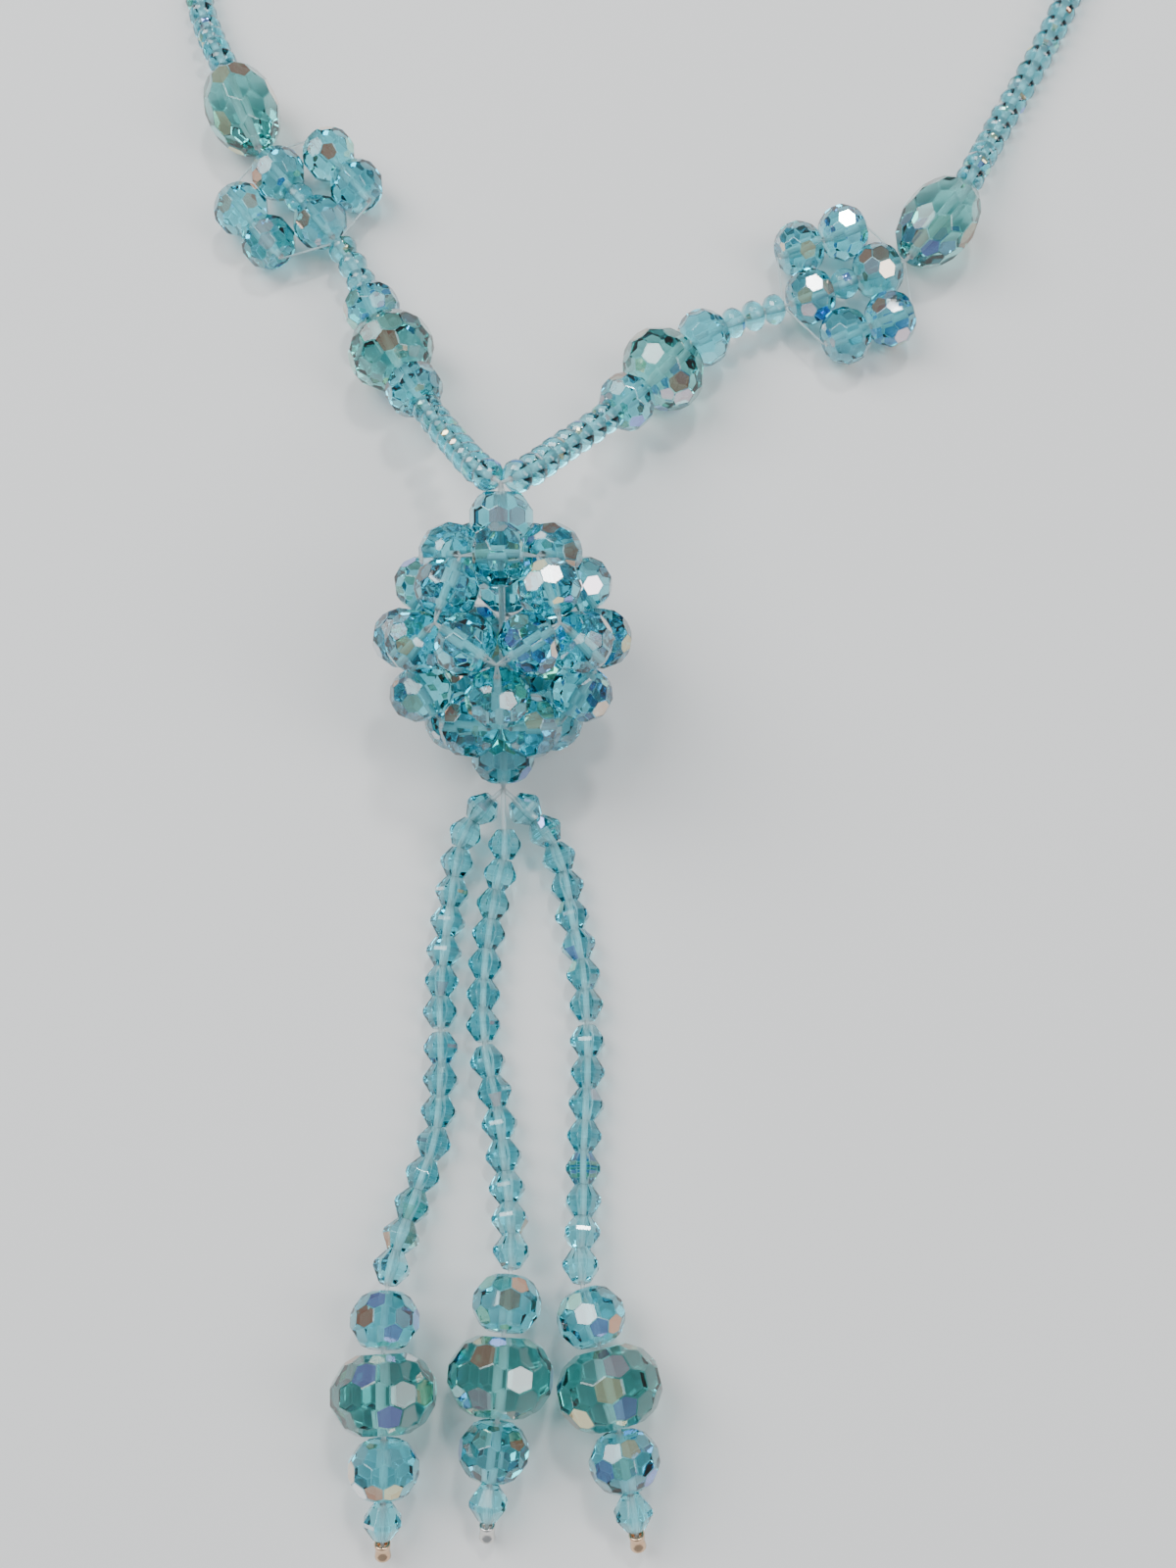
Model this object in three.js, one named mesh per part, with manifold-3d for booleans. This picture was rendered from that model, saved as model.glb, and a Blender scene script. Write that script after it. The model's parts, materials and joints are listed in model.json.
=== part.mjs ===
// A Y-shaped necklace of faceted crystal glass beads, laid flat on its resting surface.
// A woven ball of thirty rondelles is the pendant. Three bead strands hang from its lower pole as a
// tassel, and the two legs of the neck strand leave its upper pole, each with three graded rondelles,
// a woven flower and an oval bead. The neck strand is open: clasp on the left end, ring on the right.
// Millimetres, +Z up, +Y from the tassel towards the clasp. Beads touch Z = 0 with their own rims.
import * as THREE from "three";
import { mergeVertices } from "three/addons/utils/BufferGeometryUtils.js";
import Module from "manifold-3d";

const wasm = await Module();
wasm.setup();

// Driving dimensions: beads, as diameter across the rim and length along the hole.
const SMALL_DIAMETER = 4.2; // rondelles of the neck strand
const SMALL_LENGTH = 3.1;
const BICONE_DIAMETER = 4.4; // bicones of the tassel
const BICONE_LENGTH = 3.75;
const MEDIUM_DIAMETER = 8;
const MEDIUM_LENGTH = 6;
const LARGE_DIAMETER = 12;
const LARGE_LENGTH = 8.4;
const OVAL_DIAMETER = 10.5;
const OVAL_LENGTH = 13.5;
const FLOWER_CENTRE_LENGTH = 3.6; // the small bead in the middle of a flower
const RONDELLE_END = 0.235; // radius of a coated rondelle's end face, as a share of its diameter
const WAIST_DIAMETER = 1.6; // end face of a small bead
const HOLE_DIAMETER = 1.5;
const RIM_WIDTH = 1.2; // flat band round the rim of a medium or large bead

// Driving dimensions: thread, clearances and metal findings.
const THREAD_DIAMETER = 0.5;
const CORE_DIAMETER = 0.8; // the threads of all strands together, through the ball
const WEAVE_DIAMETER = 0.8; // doubled thread of the weave
const BEAD_GAP = 0.35; // between beads that touch on the real object
const LEG_LARGE_GAP = 0.9; // beside the large rondelle of a leg, where the strand bends
const DROP_LARGE_GAP = 0.6; // beside the large rondelle of a drop
const HINGE_GAP = 0.6; // bare thread where the strand bends
const POLE_NESTING = 0.96875; // from a pole bead to each bead of its ring, as a share of their diameter
const POLE_GAP = 1; // from a pole bead to where the strands part
const LEG_START = 1.6; // bare thread where the two legs part
const CRIMP_DIAMETER = 1.8;
const CRIMP_LENGTH = 2;
const LOOP_RADIUS = 1.15; // thread loop that holds the clasp or ring
const LOOP_WIRE = 0.4;
const RING_RADIUS = 3;
const RING_WIRE = 1;
const CLASP_THICKNESS = 2.4;
const CLASP_HOOK_OUTER = 3.4;
const CLASP_HOOK_INNER = 2.1;
const CLASP_STEM_LENGTH = 5.6;
const CLASP_STEM_WIDTH = 3.2;
const CLASP_EYE_RADIUS = 1.3;
const CLASP_EYE_WIRE = 0.8;
const CLASP_MOUTH_ANGLE = 0.62; // half the angle of the hook's mouth, in radians
const CLASP_STEM_FLARE = 0.6; // how much wider the stem is at the hook, on each side
const TAB_WIDTH = 1.2; // the trigger's thumb tab
const TAB_LENGTH = 0.9;

// Bead counts.
const LEG_BEADS = 8;
const LINK_BEADS = 3; // from the leg to the flower
const LEFT_NECK_BEADS = 12; // in each of the three runs on the left
const RIGHT_NECK_BEADS = 15;
const SIDE_STRAND_BEADS = 8; // in each of the two runs of a tassel strand at the side
const MIDDLE_STRAND_BEADS = 7;

const SMALL_SIDES = 6;
const MEDIUM_SIDES = 8;
const LARGE_SIDES = 10;
const THREAD_SIDES = 6;

const glass = (color) => new THREE.MeshStandardMaterial({ color, roughness: 0.05, metalness: 0 });
const AQUA = glass(0x4fb4c4);
const TEAL = glass(0x2f8f9c);
const BLUE = glass(0x5aa9cf);
const THREAD = new THREE.MeshStandardMaterial({ color: 0xdfeeee, roughness: 0.4, metalness: 0 });
const METAL = new THREE.MeshStandardMaterial({ color: 0xcfc8bf, roughness: 0.3, metalness: 1 });

const necklace = new THREE.Group();

function addMesh(name, geometry, material) {
  const mesh = new THREE.Mesh(geometry, material);
  mesh.name = name;
  necklace.add(mesh);
  return mesh;
}

// ---- joining and cutting -----------------------------------------------------------------------

function solidOf(geometry) {
  const bare = new THREE.BufferGeometry();
  bare.setAttribute("position", geometry.getAttribute("position"));
  bare.setIndex(geometry.getIndex());
  const merged = mergeVertices(bare, 1e-4);
  const index = merged.getIndex().array;
  const kept = [];
  for (let i = 0; i < index.length; i += 3) {
    const [a, b, c] = index.slice(i, i + 3);
    if (a !== b && b !== c && c !== a) kept.push(a, b, c);
  }
  const vertProperties = new Float32Array(merged.getAttribute("position").array);
  const triVerts = new Uint32Array(kept);
  return new wasm.Manifold(new wasm.Mesh({ numProp: 3, vertProperties, triVerts }));
}

function geometryOf(solid) {
  const mesh = solid.getMesh();
  const geometry = new THREE.BufferGeometry();
  geometry.setAttribute("position", new THREE.BufferAttribute(mesh.vertProperties, 3));
  geometry.setIndex(new THREE.BufferAttribute(mesh.triVerts, 1));
  return geometry;
}

const join = (geometries) => geometryOf(geometries.map(solidOf).reduce((all, one) => all.add(one)));

// ---- beads -------------------------------------------------------------------------------------

// Half a bead's outline from its centre to its end face, as [radius, distance] pairs.
const rondelleHalf = (diameter, length) => [
  [diameter / 2, RIM_WIDTH / 2],
  [diameter * RONDELLE_END, length / 2],
];
const ovalHalf = [
  [OVAL_DIAMETER / 2, OVAL_LENGTH * 0.07],
  [OVAL_DIAMETER * 0.4, OVAL_LENGTH * 0.28],
  [OVAL_DIAMETER * 0.16, OVAL_LENGTH / 2],
];
const biconeHalf = (diameter, length) => [
  [diameter / 2, length * 0.05],
  [WAIST_DIAMETER / 2 + 0.3, length / 2],
];

// A faceted bead about the local Y axis. With a hole its outline closes on itself, and without one
// it starts and ends on the axis. Half a step of turn puts a facet, not an edge, underneath.
function beadGeometry(half, sides, hole) {
  const inner = hole / 2;
  const end = half[half.length - 1][1];
  const lower = [...half].reverse().map(([radius, along]) => new THREE.Vector2(radius, -along));
  const upper = half.map(([radius, along]) => new THREE.Vector2(radius, along));
  const points = [new THREE.Vector2(inner, -end), ...lower, ...upper, new THREE.Vector2(inner, end)];
  if (hole) points.push(new THREE.Vector2(inner, -end));
  return new THREE.LatheGeometry(points, sides, Math.PI / sides);
}

const mediumBead = (hole) => beadGeometry(rondelleHalf(MEDIUM_DIAMETER, MEDIUM_LENGTH), MEDIUM_SIDES, hole);
const largeBead = () => beadGeometry(rondelleHalf(LARGE_DIAMETER, LARGE_LENGTH), LARGE_SIDES, HOLE_DIAMETER);
const ovalBead = () => beadGeometry(ovalHalf, LARGE_SIDES, HOLE_DIAMETER);
const endBicone = () => beadGeometry(biconeHalf(BICONE_DIAMETER, BICONE_LENGTH), SMALL_SIDES, HOLE_DIAMETER);
const rimHeight = (diameter, sides) => (diameter / 2) * Math.cos(Math.PI / sides);

// Local axes for a piece whose hole runs along direction: X to the side, Y along, Z as near up as can be.
function frameAlong(direction, origin) {
  const along = direction.clone().normalize();
  const up = new THREE.Vector3(0, 0, 1).addScaledVector(along, -along.z);
  if (up.lengthSq() < 1e-6) up.set(0, 1, 0);
  up.normalize();
  const side = new THREE.Vector3().crossVectors(along, up);
  return new THREE.Matrix4().makeBasis(side, along, up).setPosition(origin);
}

const rod = (from, to, diameter, sides = THREAD_SIDES) => {
  const along = new THREE.Vector3().subVectors(to, from);
  const middle = new THREE.Vector3().addVectors(from, to).multiplyScalar(0.5);
  const bar = new THREE.CylinderGeometry(diameter / 2, diameter / 2, along.length(), sides);
  return bar.applyMatrix4(frameAlong(along, middle));
};

// ---- the woven ball ----------------------------------------------------------------------------

// The beads sit at the middles of a dodecahedron's edges with their holes along them, and three meet
// at each corner. The edge length is the one at which the end rims of neighbours come within BEAD_GAP.
const CORNER_ANGLE = THREE.MathUtils.degToRad(54);
const MEDIUM_END_RADIUS = MEDIUM_DIAMETER * RONDELLE_END;
const BEAD_REACH = (MEDIUM_LENGTH / 2) * Math.sin(CORNER_ANGLE) + MEDIUM_END_RADIUS * Math.cos(CORNER_ANGLE);
const BALL_EDGE = (2 * BEAD_REACH + BEAD_GAP) / Math.sin(CORNER_ANGLE);

// A dodecahedron's measures, for edges one long.
const FACE_HEIGHT = 1.1135; // of its upper and lower face over its centre
const BELT_CORNER_HEIGHT = 0.263;
const FACE_EDGE_RADIUS = 0.6882; // from the middle of a face to the middle of its edge
const RING_CORNER_RADIUS = BALL_EDGE / (2 * Math.sin(Math.PI / 5));
const BELT_CORNER_RADIUS = RING_CORNER_RADIUS * ((1 + Math.sqrt(5)) / 2);
const RING_HEIGHT = BALL_EDGE * FACE_HEIGHT;
const BELT_HEIGHT = BALL_EDGE * BELT_CORNER_HEIGHT;

// It lies on the five beads of one face, so the axis through two other faces leans up by 26.6 degrees.
const BALL_LEAN = Math.atan(0.5);
const BALL_CENTRE = new THREE.Vector3(0, 0, RING_HEIGHT + rimHeight(MEDIUM_DIAMETER, MEDIUM_SIDES));
const BALL_AXIS = new THREE.Vector3(0, Math.cos(BALL_LEAN), Math.sin(BALL_LEAN));
const BALL_UP = new THREE.Vector3(0, -Math.sin(BALL_LEAN), Math.cos(BALL_LEAN));
const BALL_SIDE = new THREE.Vector3(1, 0, 0);

const onBall = (radius, turn, height) =>
  BALL_CENTRE.clone()
    .addScaledVector(BALL_SIDE, radius * Math.sin(turn))
    .addScaledVector(BALL_UP, radius * Math.cos(turn))
    .addScaledVector(BALL_AXIS, height);

const FIFTH = (2 * Math.PI) / 5;
const cornersAt = (radius, height, offset) =>
  [0, 1, 2, 3, 4].map((i) => onBall(radius, i * FIFTH + offset, height));
const topCorners = cornersAt(RING_CORNER_RADIUS, RING_HEIGHT, FIFTH / 2);
const upperCorners = cornersAt(BELT_CORNER_RADIUS, BELT_HEIGHT, FIFTH / 2);
const lowerCorners = cornersAt(BELT_CORNER_RADIUS, -BELT_HEIGHT, FIFTH);
const bottomCorners = cornersAt(RING_CORNER_RADIUS, -RING_HEIGHT, FIFTH);

const SPOKE_THREAD_END = 0.9; // bare thread left out where a spoke meets a ring's own thread
const CORNER_OVERRUN = 0.3; // each thread runs a little past the corner, so that three threads join

function wovenEdge(from, to, trimStart, trimEnd) {
  const along = new THREE.Vector3().subVectors(to, from).normalize();
  const middle = new THREE.Vector3().addVectors(from, to).multiplyScalar(0.5);
  const bead = mediumBead(0).applyMatrix4(frameAlong(along, middle));
  const start = from.clone().addScaledVector(along, trimStart ? SPOKE_THREAD_END : -CORNER_OVERRUN);
  const end = to.clone().addScaledVector(along, trimEnd ? -SPOKE_THREAD_END : CORNER_OVERRUN);
  return [bead, rod(start, end, WEAVE_DIAMETER, 4)];
}

const topRing = [];
const middleBand = [];
const bottomRing = [];
for (let i = 0; i < 5; i++) {
  const next = (i + 1) % 5;
  topRing.push(...wovenEdge(topCorners[i], topCorners[next], false, false));
  middleBand.push(...wovenEdge(topCorners[i], upperCorners[i], true, false));
  middleBand.push(...wovenEdge(upperCorners[i], lowerCorners[i], false, false));
  middleBand.push(...wovenEdge(lowerCorners[i], upperCorners[next], false, false));
  middleBand.push(...wovenEdge(lowerCorners[i], bottomCorners[i], false, true));
  bottomRing.push(...wovenEdge(bottomCorners[i], bottomCorners[next], false, false));
}
addMesh("ball_top_ring", join(topRing), BLUE);
addMesh("ball_middle_band", join(middleBand), BLUE);
addMesh("ball_bottom_ring", join(bottomRing), BLUE);

// A pole bead nests in the five beads of its ring, each a little less than a bead diameter away,
// because its rim narrows towards its ends.
const RING_BEAD_RADIUS = BALL_EDGE * FACE_EDGE_RADIUS;
const POLE_SPACING = MEDIUM_DIAMETER * POLE_NESTING;
const POLE_HEIGHT = RING_HEIGHT + Math.sqrt(POLE_SPACING ** 2 - RING_BEAD_RADIUS ** 2);
const POLE_END = POLE_HEIGHT + MEDIUM_LENGTH / 2;
const CROWN_JOINT = onBall(0, 0, POLE_END + POLE_GAP);
const BASE_JOINT = onBall(0, 0, -POLE_END - POLE_GAP);

const crownBead = addMesh("crown_bead", mediumBead(HOLE_DIAMETER), BLUE);
crownBead.applyMatrix4(frameAlong(BALL_AXIS, onBall(0, 0, POLE_HEIGHT)));
const baseBead = addMesh("base_bead", mediumBead(HOLE_DIAMETER), BLUE);
baseBead.applyMatrix4(frameAlong(BALL_AXIS, onBall(0, 0, -POLE_HEIGHT)));
const coreThread = rod(onBall(0, 0, -POLE_END), onBall(0, 0, POLE_END), CORE_DIAMETER);
addMesh("ball_thread", coreThread, THREAD);

// ---- strands -----------------------------------------------------------------------------------

// A strand's route: in plan a smooth curve through hand-placed points, and its height a smooth function
// of the length of strand so far, given at a few places. The curve never rises past those heights.
const ROUTE_STEP = 0.1;
class Route {
  constructor(start, planOffsets, heights) {
    const points = planOffsets.map(([x, y]) => new THREE.Vector3(start.x + x, start.y + y, 0));
    this.plan = new THREE.CatmullRomCurve3([start.clone().setZ(0), ...points], false, "centripetal");
    this.plan.arcLengthDivisions = 1200;
    this.planLength = this.plan.getLength();
    this.heights = heights;
    this.slopes = heights.map((key, i) => this.slopeAt(i));
    this.spans = [];
    this.planAt = [0];
    for (let s = 0; s < this.planLength * 1.3; s += ROUTE_STEP) {
      const rise = this.height(s + ROUTE_STEP) - this.height(s);
      const along = Math.sqrt(Math.max(ROUTE_STEP ** 2 - rise ** 2, 0));
      this.planAt.push(this.planAt[this.planAt.length - 1] + along);
    }
  }
  secant(i) {
    const [from, to] = [this.heights[i], this.heights[i + 1]];
    return (to[1] - from[1]) / (to[0] - from[0]);
  }
  slopeAt(i) {
    if (i === 0) return this.secant(0);
    if (i === this.heights.length - 1) return 0;
    const [before, after] = [this.secant(i - 1), this.secant(i)];
    return before * after <= 0 ? 0 : (2 * before * after) / (before + after);
  }
  height(s) {
    const last = this.heights[this.heights.length - 1];
    if (s >= last[0]) return last[1];
    let i = 0;
    while (s > this.heights[i + 1][0]) i += 1;
    const [from, to] = [this.heights[i], this.heights[i + 1]];
    const width = to[0] - from[0];
    const t = (s - from[0]) / width;
    const eased = t * t * (3 - 2 * t);
    const lean = this.slopes[i] * (t ** 3 - 2 * t * t + t) + this.slopes[i + 1] * (t ** 3 - t * t);
    return from[1] + (to[1] - from[1]) * eased + lean * width;
  }
  curvePoint(s) {
    const cell = Math.floor(s / ROUTE_STEP);
    const rest = s / ROUTE_STEP - cell;
    const along = this.planAt[cell] * (1 - rest) + this.planAt[cell + 1] * rest;
    const u = Math.min(along / this.planLength, 1);
    const point = this.plan.getPointAt(u);
    point.addScaledVector(this.plan.getTangentAt(u), along - u * this.planLength);
    return point.setZ(this.height(s));
  }
  // A bead is straight, so between its ends the strand follows the chord.
  holdStraight(centre, length) {
    const [from, to] = [centre - length / 2, centre + length / 2];
    this.spans.push({ from, to, start: this.curvePoint(from), end: this.curvePoint(to) });
  }
  point(s) {
    const span = this.spans.find(({ from, to }) => s >= from && s <= to);
    if (!span) return this.curvePoint(s);
    return span.start.clone().lerp(span.end, (s - span.from) / (span.to - span.from));
  }
  frame(s) {
    const span = this.spans.find(({ from, to }) => s >= from && s <= to);
    const [behind, ahead] = [Math.max(s - ROUTE_STEP, 0), s + ROUTE_STEP];
    const along = span
      ? new THREE.Vector3().subVectors(span.end, span.start)
      : new THREE.Vector3().subVectors(this.curvePoint(ahead), this.curvePoint(behind));
    return frameAlong(along, this.point(s));
  }
}

// A run of small beads on its thread, one solid: a zigzag outline about the thread, turned and then
// bent along the route. Each part of it is [length, radius at its ends, radius in its middle].
function stringGeometry(route, start, parts) {
  const outline = [new THREE.Vector2(0, start)];
  let s = start;
  let radiusNow = 0;
  for (const [length, endRadius, middleRadius] of parts) {
    if (endRadius !== radiusNow) outline.push(new THREE.Vector2(endRadius, s));
    if (middleRadius) outline.push(new THREE.Vector2(middleRadius, s + length / 2));
    s += length;
    outline.push(new THREE.Vector2(endRadius, s));
    radiusNow = endRadius;
  }
  outline.push(new THREE.Vector2(0, s));
  const geometry = new THREE.LatheGeometry(outline, SMALL_SIDES, Math.PI / SMALL_SIDES);
  const position = geometry.getAttribute("position");
  const vertex = new THREE.Vector3();
  for (let i = 0; i < position.count; i++) {
    vertex.fromBufferAttribute(position, i);
    const frame = route.frame(vertex.y);
    position.setXYZ(i, ...vertex.setY(0).applyMatrix4(frame).toArray());
  }
  return geometry;
}

const threadPart = (length) => [length, THREAD_DIAMETER / 2, 0];
const bareThread = (length, steps) => Array.from({ length: steps }, () => threadPart(length / steps));
const crimpPart = [CRIMP_LENGTH, CRIMP_DIAMETER / 2, 0];
const beadParts = (count, diameter, length) =>
  Array.from({ length: count }, () => [length, WAIST_DIAMETER / 2, diameter / 2]);
const smallParts = (count) => beadParts(count, SMALL_DIAMETER, SMALL_LENGTH);

function addBead(name, route, s, geometry, material) {
  const mesh = addMesh(name, geometry, material);
  mesh.applyMatrix4(route.frame(s));
  return mesh;
}

const jointPlaces = {}; // where each joint turns, kept on the group beside the meshes
const markJoint = (name, route, s) => {
  const frame = route.frame(s);
  const along = new THREE.Vector3().setFromMatrixColumn(frame, 1);
  jointPlaces[name] = { point: route.point(s), along };
};

// Heights of the hole when a bead rests on its rim.
const SMALL_REST = rimHeight(SMALL_DIAMETER, SMALL_SIDES);
const BICONE_REST = rimHeight(BICONE_DIAMETER, SMALL_SIDES);
const MEDIUM_REST = rimHeight(MEDIUM_DIAMETER, MEDIUM_SIDES);
const LARGE_REST = rimHeight(LARGE_DIAMETER, LARGE_SIDES) + 0.03; // it leans a little
const OVAL_REST = rimHeight(OVAL_DIAMETER, LARGE_SIDES) + 0.06;

// The hand-placed plan of each side of the neck, as offsets from where the legs part.
const LEFT_NECK_PLAN = [
  [-3, 3.7],
  [-6.6, 10.4],
  [-10.5, 17.8],
  [-13.1, 22.9],
  [-15.9, 28.1],
  [-19, 35.4],
  [-21, 41.1],
  [-23.6, 46.3],
  [-26.6, 50.4],
  [-29.6, 54],
  [-33, 57.8],
  [-36.2, 62.5],
  [-39.1, 69.1],
  [-42.2, 76.6],
  [-44.9, 83.1],
  [-47.3, 90.2],
  [-49.6, 102],
  [-50.4, 115],
  [-46.1, 131],
  [-35.6, 145],
  [-19, 154.6],
  [0, 158.6],
  [17, 158.4],
];
const RIGHT_NECK_PLAN = [
  [3.3, 3.4],
  [7.4, 9.6],
  [12.2, 16],
  [15.4, 20.1],
  [18.9, 24],
  [23.2, 29.4],
  [27.6, 33],
  [32.4, 35.6],
  [37.2, 37.4],
  [41.9, 38.6],
  [46.6, 40],
  [51.2, 42.3],
  [57.4, 46.8],
  [62.3, 53.1],
  [65.9, 60.1],
  [70.9, 70.1],
  [76.4, 80.1],
  [81.9, 91.1],
  [86.4, 104],
  [87, 119],
  [82.4, 134],
  [72.6, 147.4],
  [58, 158],
  [42, 164.6],
  [30, 167],
];

// ---- the neck strand, one side at a time -------------------------------------------------------

const FLOWER_ALONG = MEDIUM_LENGTH / 2 + 0.4; // petal centres from the middle, along the strand
const FLOWER_ACROSS = MEDIUM_DIAMETER - 0.4; // and to each side of it
const FLOWER_AXIS = FLOWER_CENTRE_LENGTH / 2 + BEAD_GAP + MEDIUM_LENGTH / 2; // of the beads in the row
const FLOWER_END = FLOWER_AXIS + MEDIUM_LENGTH / 2 + 1.1; // where the flower's threads meet
const KNOT_RADIUS = 0.4;

function addFlower(side, route, centre, linkStart) {
  const frame = route.frame(centre);
  const place = (across, along) => new THREE.Vector3(across, along, 0).applyMatrix4(frame);
  const along = new THREE.Vector3().setFromMatrixColumn(frame, 1);
  let number = 0;
  for (const across of [-FLOWER_ACROSS, FLOWER_ACROSS])
    for (const step of [-FLOWER_ALONG, FLOWER_ALONG]) {
      number += 1;
      const petal = addMesh(`${side}_petal_${number}`, mediumBead(HOLE_DIAMETER), BLUE);
      petal.applyMatrix4(frameAlong(along, place(across, step)));
    }
  const inner = addMesh(`${side}_flower_rondelle_inner`, mediumBead(HOLE_DIAMETER), BLUE);
  inner.applyMatrix4(frameAlong(along, place(0, -FLOWER_AXIS)));
  const outer = addMesh(`${side}_flower_rondelle_outer`, mediumBead(HOLE_DIAMETER), BLUE);
  outer.applyMatrix4(frameAlong(along, place(0, FLOWER_AXIS)));
  // The thread: a line out to each pair of petals and back, joined to the one through the row.
  const petalEnd = FLOWER_ALONG + MEDIUM_LENGTH / 2 + BEAD_GAP;
  const rowEnds = [place(0, -FLOWER_END), place(0, FLOWER_END)];
  const lines = rowEnds.map(knotAt);
  for (const across of [-FLOWER_ACROSS, FLOWER_ACROSS]) {
    const turns = [place(across, -petalEnd), place(across, petalEnd)];
    lines.push(...turns.map(knotAt));
    lines.push(rod(rowEnds[0], turns[0], THREAD_DIAMETER));
    lines.push(rod(turns[0], turns[1], THREAD_DIAMETER));
    lines.push(rod(turns[1], rowEnds[1], THREAD_DIAMETER));
  }
  const rowThread = bareThread(FLOWER_END - FLOWER_CENTRE_LENGTH / 2, 2);
  const centreBead = [FLOWER_CENTRE_LENGTH, WAIST_DIAMETER / 2, SMALL_DIAMETER / 2];
  const row = [...smallParts(LINK_BEADS), ...rowThread, centreBead, ...rowThread];
  lines.push(stringGeometry(route, linkStart, row));
  addMesh(`${side}_flower_thread`, join(lines), AQUA);
}

const knotAt = (point) => new THREE.SphereGeometry(KNOT_RADIUS, 7, 5).translate(point.x, point.y, point.z);

function loopAt(route, s) {
  const loop = new THREE.TorusGeometry(LOOP_RADIUS, LOOP_WIRE / 2, THREAD_SIDES, 14);
  // The loop stands on edge in the plane of the strand, so a flat ring can lie through it.
  return loop.rotateY(Math.PI / 2).applyMatrix4(route.frame(s));
}

function addNeckSide(side, plan, neckBeads) {
  // Where each piece sits on the strand, as lengths from the point where the legs part.
  const lower = LEG_START + LEG_BEADS * SMALL_LENGTH + BEAD_GAP + MEDIUM_LENGTH / 2;
  const large = lower + MEDIUM_LENGTH / 2 + LEG_LARGE_GAP + LARGE_LENGTH / 2;
  const upper = large + LARGE_LENGTH / 2 + LEG_LARGE_GAP + MEDIUM_LENGTH / 2;
  const legEnd = upper + MEDIUM_LENGTH / 2;
  const linkStart = legEnd + HINGE_GAP;
  const linkLength = LINK_BEADS * SMALL_LENGTH;
  const flower = linkStart + linkLength + FLOWER_END;
  const flowerEnd = flower + FLOWER_END + KNOT_RADIUS / 2;
  const ovalThreadStart = flowerEnd + HINGE_GAP;
  const oval = ovalThreadStart + BEAD_GAP + OVAL_LENGTH / 2;
  const runStart = oval + OVAL_LENGTH / 2 + BEAD_GAP;
  const runLength = neckBeads * SMALL_LENGTH;
  // Heights of the strand's hole, hand-placed: it comes down from the ball over the large bead.
  const route = new Route(CROWN_JOINT, plan, [
    [0, CROWN_JOINT.z],
    [lower - MEDIUM_LENGTH / 2, LARGE_REST + 2.6],
    [lower + MEDIUM_LENGTH / 2, LARGE_REST + 0.8],
    [large - LARGE_LENGTH / 2, LARGE_REST + 0.45],
    [large + LARGE_LENGTH / 2, LARGE_REST - 0.4],
    [upper - MEDIUM_LENGTH / 2, LARGE_REST - 0.55],
    [upper + MEDIUM_LENGTH / 2, MEDIUM_REST + 0.6],
    [linkStart + linkLength / 2, MEDIUM_REST + 0.1],
    [flower - FLOWER_END, MEDIUM_REST],
    [flowerEnd, MEDIUM_REST + 0.5],
    [oval - OVAL_LENGTH / 2, OVAL_REST - 0.5],
    [oval + OVAL_LENGTH / 2, OVAL_REST + 0.6],
    [runStart + 4 * SMALL_LENGTH, SMALL_REST + 1],
    [runStart + 8 * SMALL_LENGTH, SMALL_REST],
  ]);
  route.holdStraight(lower, MEDIUM_LENGTH);
  route.holdStraight(large, LARGE_LENGTH);
  route.holdStraight(upper, MEDIUM_LENGTH);
  route.holdStraight(flower, 2 * (flowerEnd - flower));
  route.holdStraight(oval, OVAL_LENGTH);
  // The leg: small beads, then a medium, a large and a medium rondelle on the same thread.
  markJoint(`${side}_leg_swing`, route, 0);
  const threadStart = 2 * THREAD_DIAMETER;
  const trioThread = bareThread(legEnd - LEG_START - LEG_BEADS * SMALL_LENGTH, 14);
  const legParts = [threadPart(LEG_START - threadStart), ...smallParts(LEG_BEADS), ...trioThread];
  addMesh(`${side}_leg_beads`, stringGeometry(route, threadStart, legParts), AQUA);
  addBead(`${side}_leg_rondelle_lower`, route, lower, mediumBead(HOLE_DIAMETER), BLUE);
  addBead(`${side}_leg_rondelle_large`, route, large, largeBead(), TEAL);
  addBead(`${side}_leg_rondelle_upper`, route, upper, mediumBead(HOLE_DIAMETER), BLUE);
  markJoint(`${side}_leg_spin`, route, large);
  // The flower, with the small beads that link it to the leg.
  markJoint(`${side}_flower_swing`, route, legEnd + HINGE_GAP / 2);
  addFlower(side, route, flower, linkStart);
  // The oval bead, on the thread of the first run of the neck strand.
  markJoint(`${side}_neck_bend_1`, route, flowerEnd + HINGE_GAP / 2);
  addBead(`${side}_oval_bead`, route, oval, ovalBead(), TEAL);
  const runOneParts = [...bareThread(runStart - ovalThreadStart, 12), ...smallParts(neckBeads)];
  addMesh(`${side}_neck_run_1`, stringGeometry(route, ovalThreadStart, runOneParts), AQUA);
  let s = runStart + runLength;
  markJoint(`${side}_neck_bend_2`, route, s + HINGE_GAP / 2);
  s += HINGE_GAP;
  addMesh(`${side}_neck_run_2`, stringGeometry(route, s, smallParts(neckBeads)), AQUA);
  s += runLength;
  markJoint(`${side}_neck_bend_3`, route, s + HINGE_GAP / 2);
  s += HINGE_GAP;
  const runThree = stringGeometry(route, s, [...smallParts(neckBeads), crimpPart]);
  s += runLength + CRIMP_LENGTH;
  const loopCentre = s + LOOP_RADIUS - LOOP_WIRE / 4;
  addMesh(`${side}_neck_run_3`, join([runThree, loopAt(route, loopCentre)]), AQUA);
  return [route, loopCentre];
}

const [leftRoute, leftLoop] = addNeckSide("left", LEFT_NECK_PLAN, LEFT_NECK_BEADS);
const [rightRoute, rightLoop] = addNeckSide("right", RIGHT_NECK_PLAN, RIGHT_NECK_BEADS);

// ---- clasp and ring ----------------------------------------------------------------------------

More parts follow.
